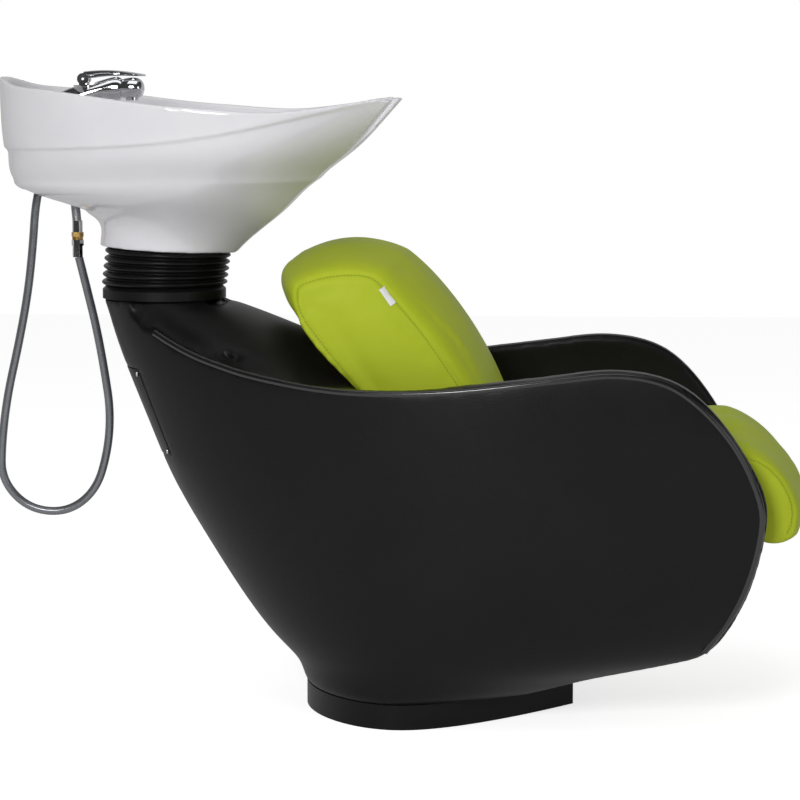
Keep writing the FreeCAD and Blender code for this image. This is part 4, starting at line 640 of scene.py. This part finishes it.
bpy.ops.object.select_all(action="DESELECT")
bpy.ops.mesh.primitive_circle_add(vertices=96, radius=1, location=(0, 0, 0))
bellows = bpy.context.object
bellows.name = "neck_bellows"
rings = [((fold + share) / FOLDS, radius) for fold in range(FOLDS) for share, radius in FOLD_RINGS] + [(1.0, 0.0895)]
bpy.ops.object.mode_set(mode="EDIT")
bpy.ops.mesh.select_all(action="SELECT")
for _ in rings[1:]:
    bpy.ops.mesh.extrude_edges_move()
bpy.ops.object.mode_set(mode="OBJECT")
for index, vertex in enumerate(bellows.data.vertices):
    share, radius = rings[index // 96]
    tilt = FOOT_TILT * share
    centre = BELLOWS_LOW.lerp(BELLOWS_HIGH, share)
    across = vertex.co.normalized() * radius
    vertex.co = centre + Vector((across.x * math.cos(tilt), across.y, -across.x * math.sin(tilt)))
wall = bellows.modifiers.new("wall", "SOLIDIFY")
wall.thickness = 0.002
fine = bellows.modifiers.new("fine", "SUBSURF")
fine.levels = fine.render_levels = 1
finish_modifiers(bellows)
pick(bellows)
bpy.ops.object.mode_set(mode="EDIT")
bpy.ops.mesh.select_all(action="SELECT")
bpy.ops.mesh.normals_make_consistent(inside=False)
bpy.ops.object.mode_set(mode="OBJECT")
bpy.ops.object.shade_smooth()
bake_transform(bellows)
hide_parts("bellows")
print("bellows faces", len(bellows.data.polygons))

# %% [markdown]
# ## Shared effects
# Moulded plastic, rubber and leatherette all have a grain, and every surface that is touched has soft patches
# where it is a little smoother or paler. Both effects are node groups with their own inputs, placed in each
# finish with its own scale. They put out only heights and masks; the shaders stay in the materials.

# %% Node groups
def new_group(name, inputs, outputs):
    """A shader node group with named float sockets and a position from Object coordinates."""
    group = bpy.data.node_groups.new(name, "ShaderNodeTree")
    for label, value in inputs:
        socket = group.interface.new_socket(name=label, in_out="INPUT", socket_type="NodeSocketFloat")
        socket.default_value = value
    for label in outputs:
        group.interface.new_socket(name=label, in_out="OUTPUT", socket_type="NodeSocketFloat")
    entry = group.nodes.new("NodeGroupInput")
    leave = group.nodes.new("NodeGroupOutput")
    place = group.nodes.new("ShaderNodeTexCoord")
    return group, entry, leave, place.outputs["Object"]


def grain_group():
    """Pebbles of one size with finer dust between them: a height and a mask of the valleys."""
    group, entry, leave, place = new_group("pebble_grain", [("Scale", 600), ("Fine", 0.4)], ["Height", "Valleys"])
    link = group.links.new
    cells = group.nodes.new("ShaderNodeTexVoronoi")
    cells.feature = "SMOOTH_F1"
    dust = group.nodes.new("ShaderNodeTexNoise")
    dust.inputs["Detail"].default_value = 3
    double = group.nodes.new("ShaderNodeMath")
    double.operation = "MULTIPLY"
    double.inputs[1].default_value = 2.3
    link(entry.outputs["Scale"], double.inputs[0])
    link(place, cells.inputs["Vector"])
    link(place, dust.inputs["Vector"])
    link(entry.outputs["Scale"], cells.inputs["Scale"])
    link(double.outputs[0], dust.inputs["Scale"])
    top = group.nodes.new("ShaderNodeMath")
    top.operation = "SUBTRACT"
    top.inputs[0].default_value = 1
    link(cells.outputs["Distance"], top.inputs[1])
    rough = group.nodes.new("ShaderNodeMath")
    rough.operation = "MULTIPLY_ADD"
    link(dust.outputs["Fac"], rough.inputs[0])
    link(entry.outputs["Fine"], rough.inputs[1])
    link(top.outputs[0], rough.inputs[2])
    link(rough.outputs[0], leave.inputs["Height"])
    link(cells.outputs["Distance"], leave.inputs["Valleys"])
    return group


def patches_group():
    """Large soft patches from handling: a mask from 0 to 1."""
    group, entry, leave, place = new_group("handling_patches", [("Scale", 9)], ["Mask"])
    link = group.links.new
    cloud = group.nodes.new("ShaderNodeTexNoise")
    cloud.inputs["Detail"].default_value = 4
    cloud.inputs["Roughness"].default_value = 0.6
    spread = group.nodes.new("ShaderNodeMapRange")
    spread.inputs["From Min"].default_value = 0.3
    spread.inputs["From Max"].default_value = 0.7
    link(place, cloud.inputs["Vector"])
    link(entry.outputs["Scale"], cloud.inputs["Scale"])
    link(cloud.outputs["Fac"], spread.inputs["Value"])
    link(spread.outputs[0], leave.inputs["Mask"])
    return group


GRAIN = grain_group()
PATCHES = patches_group()
print("groups", GRAIN.name, PATCHES.name)

# %% [markdown]
# ## Finishes
# Each finish is a Principled shader whose colour and roughness drift between two values over the handling patches,
# with a bump from the grain where the real one has it. Plain constants stay on the shader's own sockets.

# %% Finish maker
def finish(name, dark, light, rough, patch_scale=9, grain=None, bump=0.0, depth=0.0004, fine=0.4, **sockets):
    """A finish between two colours and two roughnesses, with an optional grain."""
    material = bpy.data.materials.new(name)
    material.use_nodes = True
    tree = material.node_tree
    shader = tree.nodes["Principled BSDF"]
    patches = tree.nodes.new("ShaderNodeGroup")
    patches.node_tree = PATCHES
    patches.inputs["Scale"].default_value = patch_scale
    tint = tree.nodes.new("ShaderNodeMix")
    tint.data_type = "RGBA"
    tint.inputs["A"].default_value = (*dark, 1)
    tint.inputs["B"].default_value = (*light, 1)
    tree.links.new(patches.outputs["Mask"], tint.inputs["Factor"])
    tree.links.new(tint.outputs["Result"], shader.inputs["Base Color"])
    gloss = tree.nodes.new("ShaderNodeMapRange")
    gloss.inputs["To Min"].default_value = rough[0]
    gloss.inputs["To Max"].default_value = rough[1]
    tree.links.new(patches.outputs["Mask"], gloss.inputs["Value"])
    tree.links.new(gloss.outputs[0], shader.inputs["Roughness"])
    if grain:
        pebbles = tree.nodes.new("ShaderNodeGroup")
        pebbles.node_tree = GRAIN
        pebbles.inputs["Scale"].default_value = grain
        pebbles.inputs["Fine"].default_value = fine
        raised = tree.nodes.new("ShaderNodeBump")
        raised.inputs["Strength"].default_value = bump
        raised.inputs["Distance"].default_value = depth
        tree.links.new(pebbles.outputs["Height"], raised.inputs["Height"])
        tree.links.new(raised.outputs["Normal"], shader.inputs["Normal"])
    for socket, value in sockets.items():
        shader.inputs[socket.replace("_", " ")].default_value = value
    return material


FINISHES = {
    "black_moulding": finish("black_moulding", (0.0042, 0.0042, 0.0046), (0.006, 0.006, 0.0065), (0.36, 0.42), 7,
                             grain=520, bump=0.35, depth=0.0005, Specular_IOR_Level=0.2),
    "black_lip": finish("black_lip", (0.006, 0.006, 0.0065), (0.008, 0.008, 0.0085), (0.2, 0.26), 20, grain=900,
                        bump=0.05, Specular_IOR_Level=0.8),
    "black_paint": finish("black_paint", (0.02, 0.02, 0.02), (0.03, 0.03, 0.03), (0.4, 0.5), 12, grain=900,
                          bump=0.12),
    "zinc_steel": finish("zinc_steel", (0.5, 0.51, 0.53), (0.64, 0.64, 0.62), (0.28, 0.42), 60, grain=1500,
                         bump=0.05, Metallic=1.0),
    "plywood": finish("plywood", (0.42, 0.28, 0.15), (0.58, 0.42, 0.25), (0.6, 0.72), 18, grain=300, bump=0.1),
    "green_leatherette": finish("green_leatherette", (0.43, 0.52, 0.024), (0.47, 0.56, 0.03), (0.44, 0.52), 11,
                                grain=640, bump=0.2, depth=0.0004, Specular_IOR_Level=0.12),
    "black_rubber": finish("black_rubber", (0.0035, 0.0035, 0.0037), (0.006, 0.006, 0.0062), (0.28, 0.36), 20,
                           grain=1100, bump=0.08, Specular_IOR_Level=0.2),
    "white_glaze": finish("white_glaze", (0.81, 0.80, 0.835), (0.84, 0.83, 0.86), (0.07, 0.12), 14),
    "chrome": finish("chrome", (0.7, 0.71, 0.72), (0.78, 0.78, 0.79), (0.04, 0.09), 40, grain=2500, bump=0.01,
                     Metallic=1.0),
    "grey_plastic": finish("grey_plastic", (0.16, 0.16, 0.165), (0.22, 0.22, 0.22), (0.4, 0.55), 30, grain=900,
                           bump=0.1),
    "brass": finish("brass", (0.5, 0.3, 0.09), (0.62, 0.4, 0.14), (0.2, 0.32), 60, grain=1500, bump=0.04,
                    Metallic=1.0),
    "silver_hose": finish("silver_hose", (0.2, 0.205, 0.22), (0.23, 0.235, 0.25), (0.24, 0.3), 30, grain=1400,
                          bump=0.02, Metallic=0.6),
    "steel_braid": finish("steel_braid", (0.22, 0.22, 0.23), (0.55, 0.55, 0.56), (0.25, 0.4), 900, grain=1100,
                          bump=0.6, Metallic=1.0),
}
print("finishes", len(FINISHES))

# %% Thread and tab finishes
FINISHES["thread"] = finish("thread", (0.2, 0.29, 0.02), (0.26, 0.36, 0.03), (0.6, 0.75), 300, grain=3000,
                            bump=0.3)
FINISHES["tab"] = finish("tab", (0.78, 0.78, 0.76), (0.85, 0.85, 0.83), (0.7, 0.8), 120, grain=2200, bump=0.3)


def dress(piece, material):
    """Gives a piece one finish in every slot."""
    slots = piece.data.materials
    if len(slots) == 0:
        slots.append(material)
    for index in range(len(slots)):
        slots[index] = material


for part in frame["record"]["subparts"]:
    dress(nodes[part["node"]], FINISHES[part["material_slot"]])
for piece, name in ((shell, "black_moulding"), (rim_lip, "black_lip"), (bowl, "white_glaze"),
                    (back, "green_leatherette"), (seat, "green_leatherette"), (back_thread, "thread"),
                    (seat_thread, "thread"), (tab, "tab"), (bellows, "black_rubber"), (hose, "silver_hose")):
    dress(piece, FINISHES[name])

# %% [markdown]
# ## Light, floor and background
# The studio is plain: one large soft lamp above and in front, a wide one on the left and a weaker one on the
# right, over a pale floor. The white background is only what the camera and the gloss see of world and floor, so
# that it adds no light to the object.

# %% Lamps
def lamp(name, place, target, size, power):
    """A square soft lamp that faces a point."""
    data = bpy.data.lights.new(name, "AREA")
    data.shape = "SQUARE"
    data.size = size
    data.energy = power
    piece = bpy.data.objects.new(name, data)
    piece.location = place
    piece.rotation_euler = (Vector(target) - Vector(place)).to_track_quat("-Z", "Y").to_euler()
    scene.collection.objects.link(piece)


lamp("top_lamp", (-0.2, -0.8, 3.2), (0, 0, 0.5), 2.0, 15)
lamp("left_lamp", (-1.0, -4.0, 2.0), (-0.1, 0, 0.5), 1.1, 74)
lamp("right_lamp", (2.8, -2.6, 1.4), (0.1, 0, 0.5), 1.4, 12)
print("lamps 3")

# %% World and floor
def studio_world():
    """White for the camera, a pale wall behind a dark room for gloss, dim fill for the rest."""
    world = bpy.data.worlds.new("studio")
    world.use_nodes = True
    tree = world.node_tree
    link = tree.links.new
    path = tree.nodes.new("ShaderNodeLightPath")
    direction = tree.nodes.new("ShaderNodeTexCoord")
    parts = tree.nodes.new("ShaderNodeSeparateXYZ")
    link(direction.outputs["Generated"], parts.inputs[0])
    behind = tree.nodes.new("ShaderNodeMapRange")
    behind.interpolation_type = "SMOOTHSTEP"
    behind.inputs["From Min"].default_value = -0.25
    behind.inputs["From Max"].default_value = 0.25
    behind.inputs["To Min"].default_value = 0.05
    behind.inputs["To Max"].default_value = 0.5
    low = tree.nodes.new("ShaderNodeMath")
    low.operation = "SUBTRACT"
    link(parts.outputs["Y"], low.inputs[0])
    link(parts.outputs["Z"], low.inputs[1])
    link(low.outputs[0], behind.inputs["Value"])
    glossy = tree.nodes.new("ShaderNodeMath")
    glossy.operation = "MAXIMUM"
    link(path.outputs["Is Glossy Ray"], glossy.inputs[0])
    link(path.outputs["Is Transmission Ray"], glossy.inputs[1])
    room = tree.nodes.new("ShaderNodeMix")
    room.inputs["A"].default_value = 0.26
    link(glossy.outputs[0], room.inputs["Factor"])
    link(behind.outputs[0], room.inputs["B"])
    level = tree.nodes.new("ShaderNodeMath")
    level.operation = "MAXIMUM"
    link(path.outputs["Is Camera Ray"], level.inputs[0])
    link(room.outputs["Result"], level.inputs[1])
    sky = tree.nodes["Background"]
    sky.inputs["Color"].default_value = (1, 1, 1, 1)
    link(level.outputs[0], sky.inputs["Strength"])
    return world


scene.world = studio_world()

bpy.ops.object.select_all(action="DESELECT")
bpy.ops.mesh.primitive_plane_add(size=14)
floor = bpy.context.object
floor.name = "studio_floor"
paper = bpy.data.materials.new("floor_paper")
paper.use_nodes = True
tree = paper.node_tree
shader = tree.nodes["Principled BSDF"]
shader.inputs["Base Color"].default_value = (0.9, 0.9, 0.9, 1)
shader.inputs["Roughness"].default_value = 0.9
shader.inputs["Emission Color"].default_value = (1, 1, 1, 1)
path = tree.nodes.new("ShaderNodeLightPath")
gloss = tree.nodes.new("ShaderNodeMath")
gloss.operation = "MULTIPLY"
gloss.inputs[1].default_value = 0.2
glow = tree.nodes.new("ShaderNodeMath")
glow.operation = "MULTIPLY_ADD"
glow.inputs[1].default_value = 0.72
tree.links.new(path.outputs["Is Glossy Ray"], gloss.inputs[0])
tree.links.new(path.outputs["Is Camera Ray"], glow.inputs[0])
tree.links.new(gloss.outputs[0], glow.inputs[2])
tree.links.new(glow.outputs[0], shader.inputs["Emission Strength"])
floor.data.materials.append(paper)
print("floor and world set")
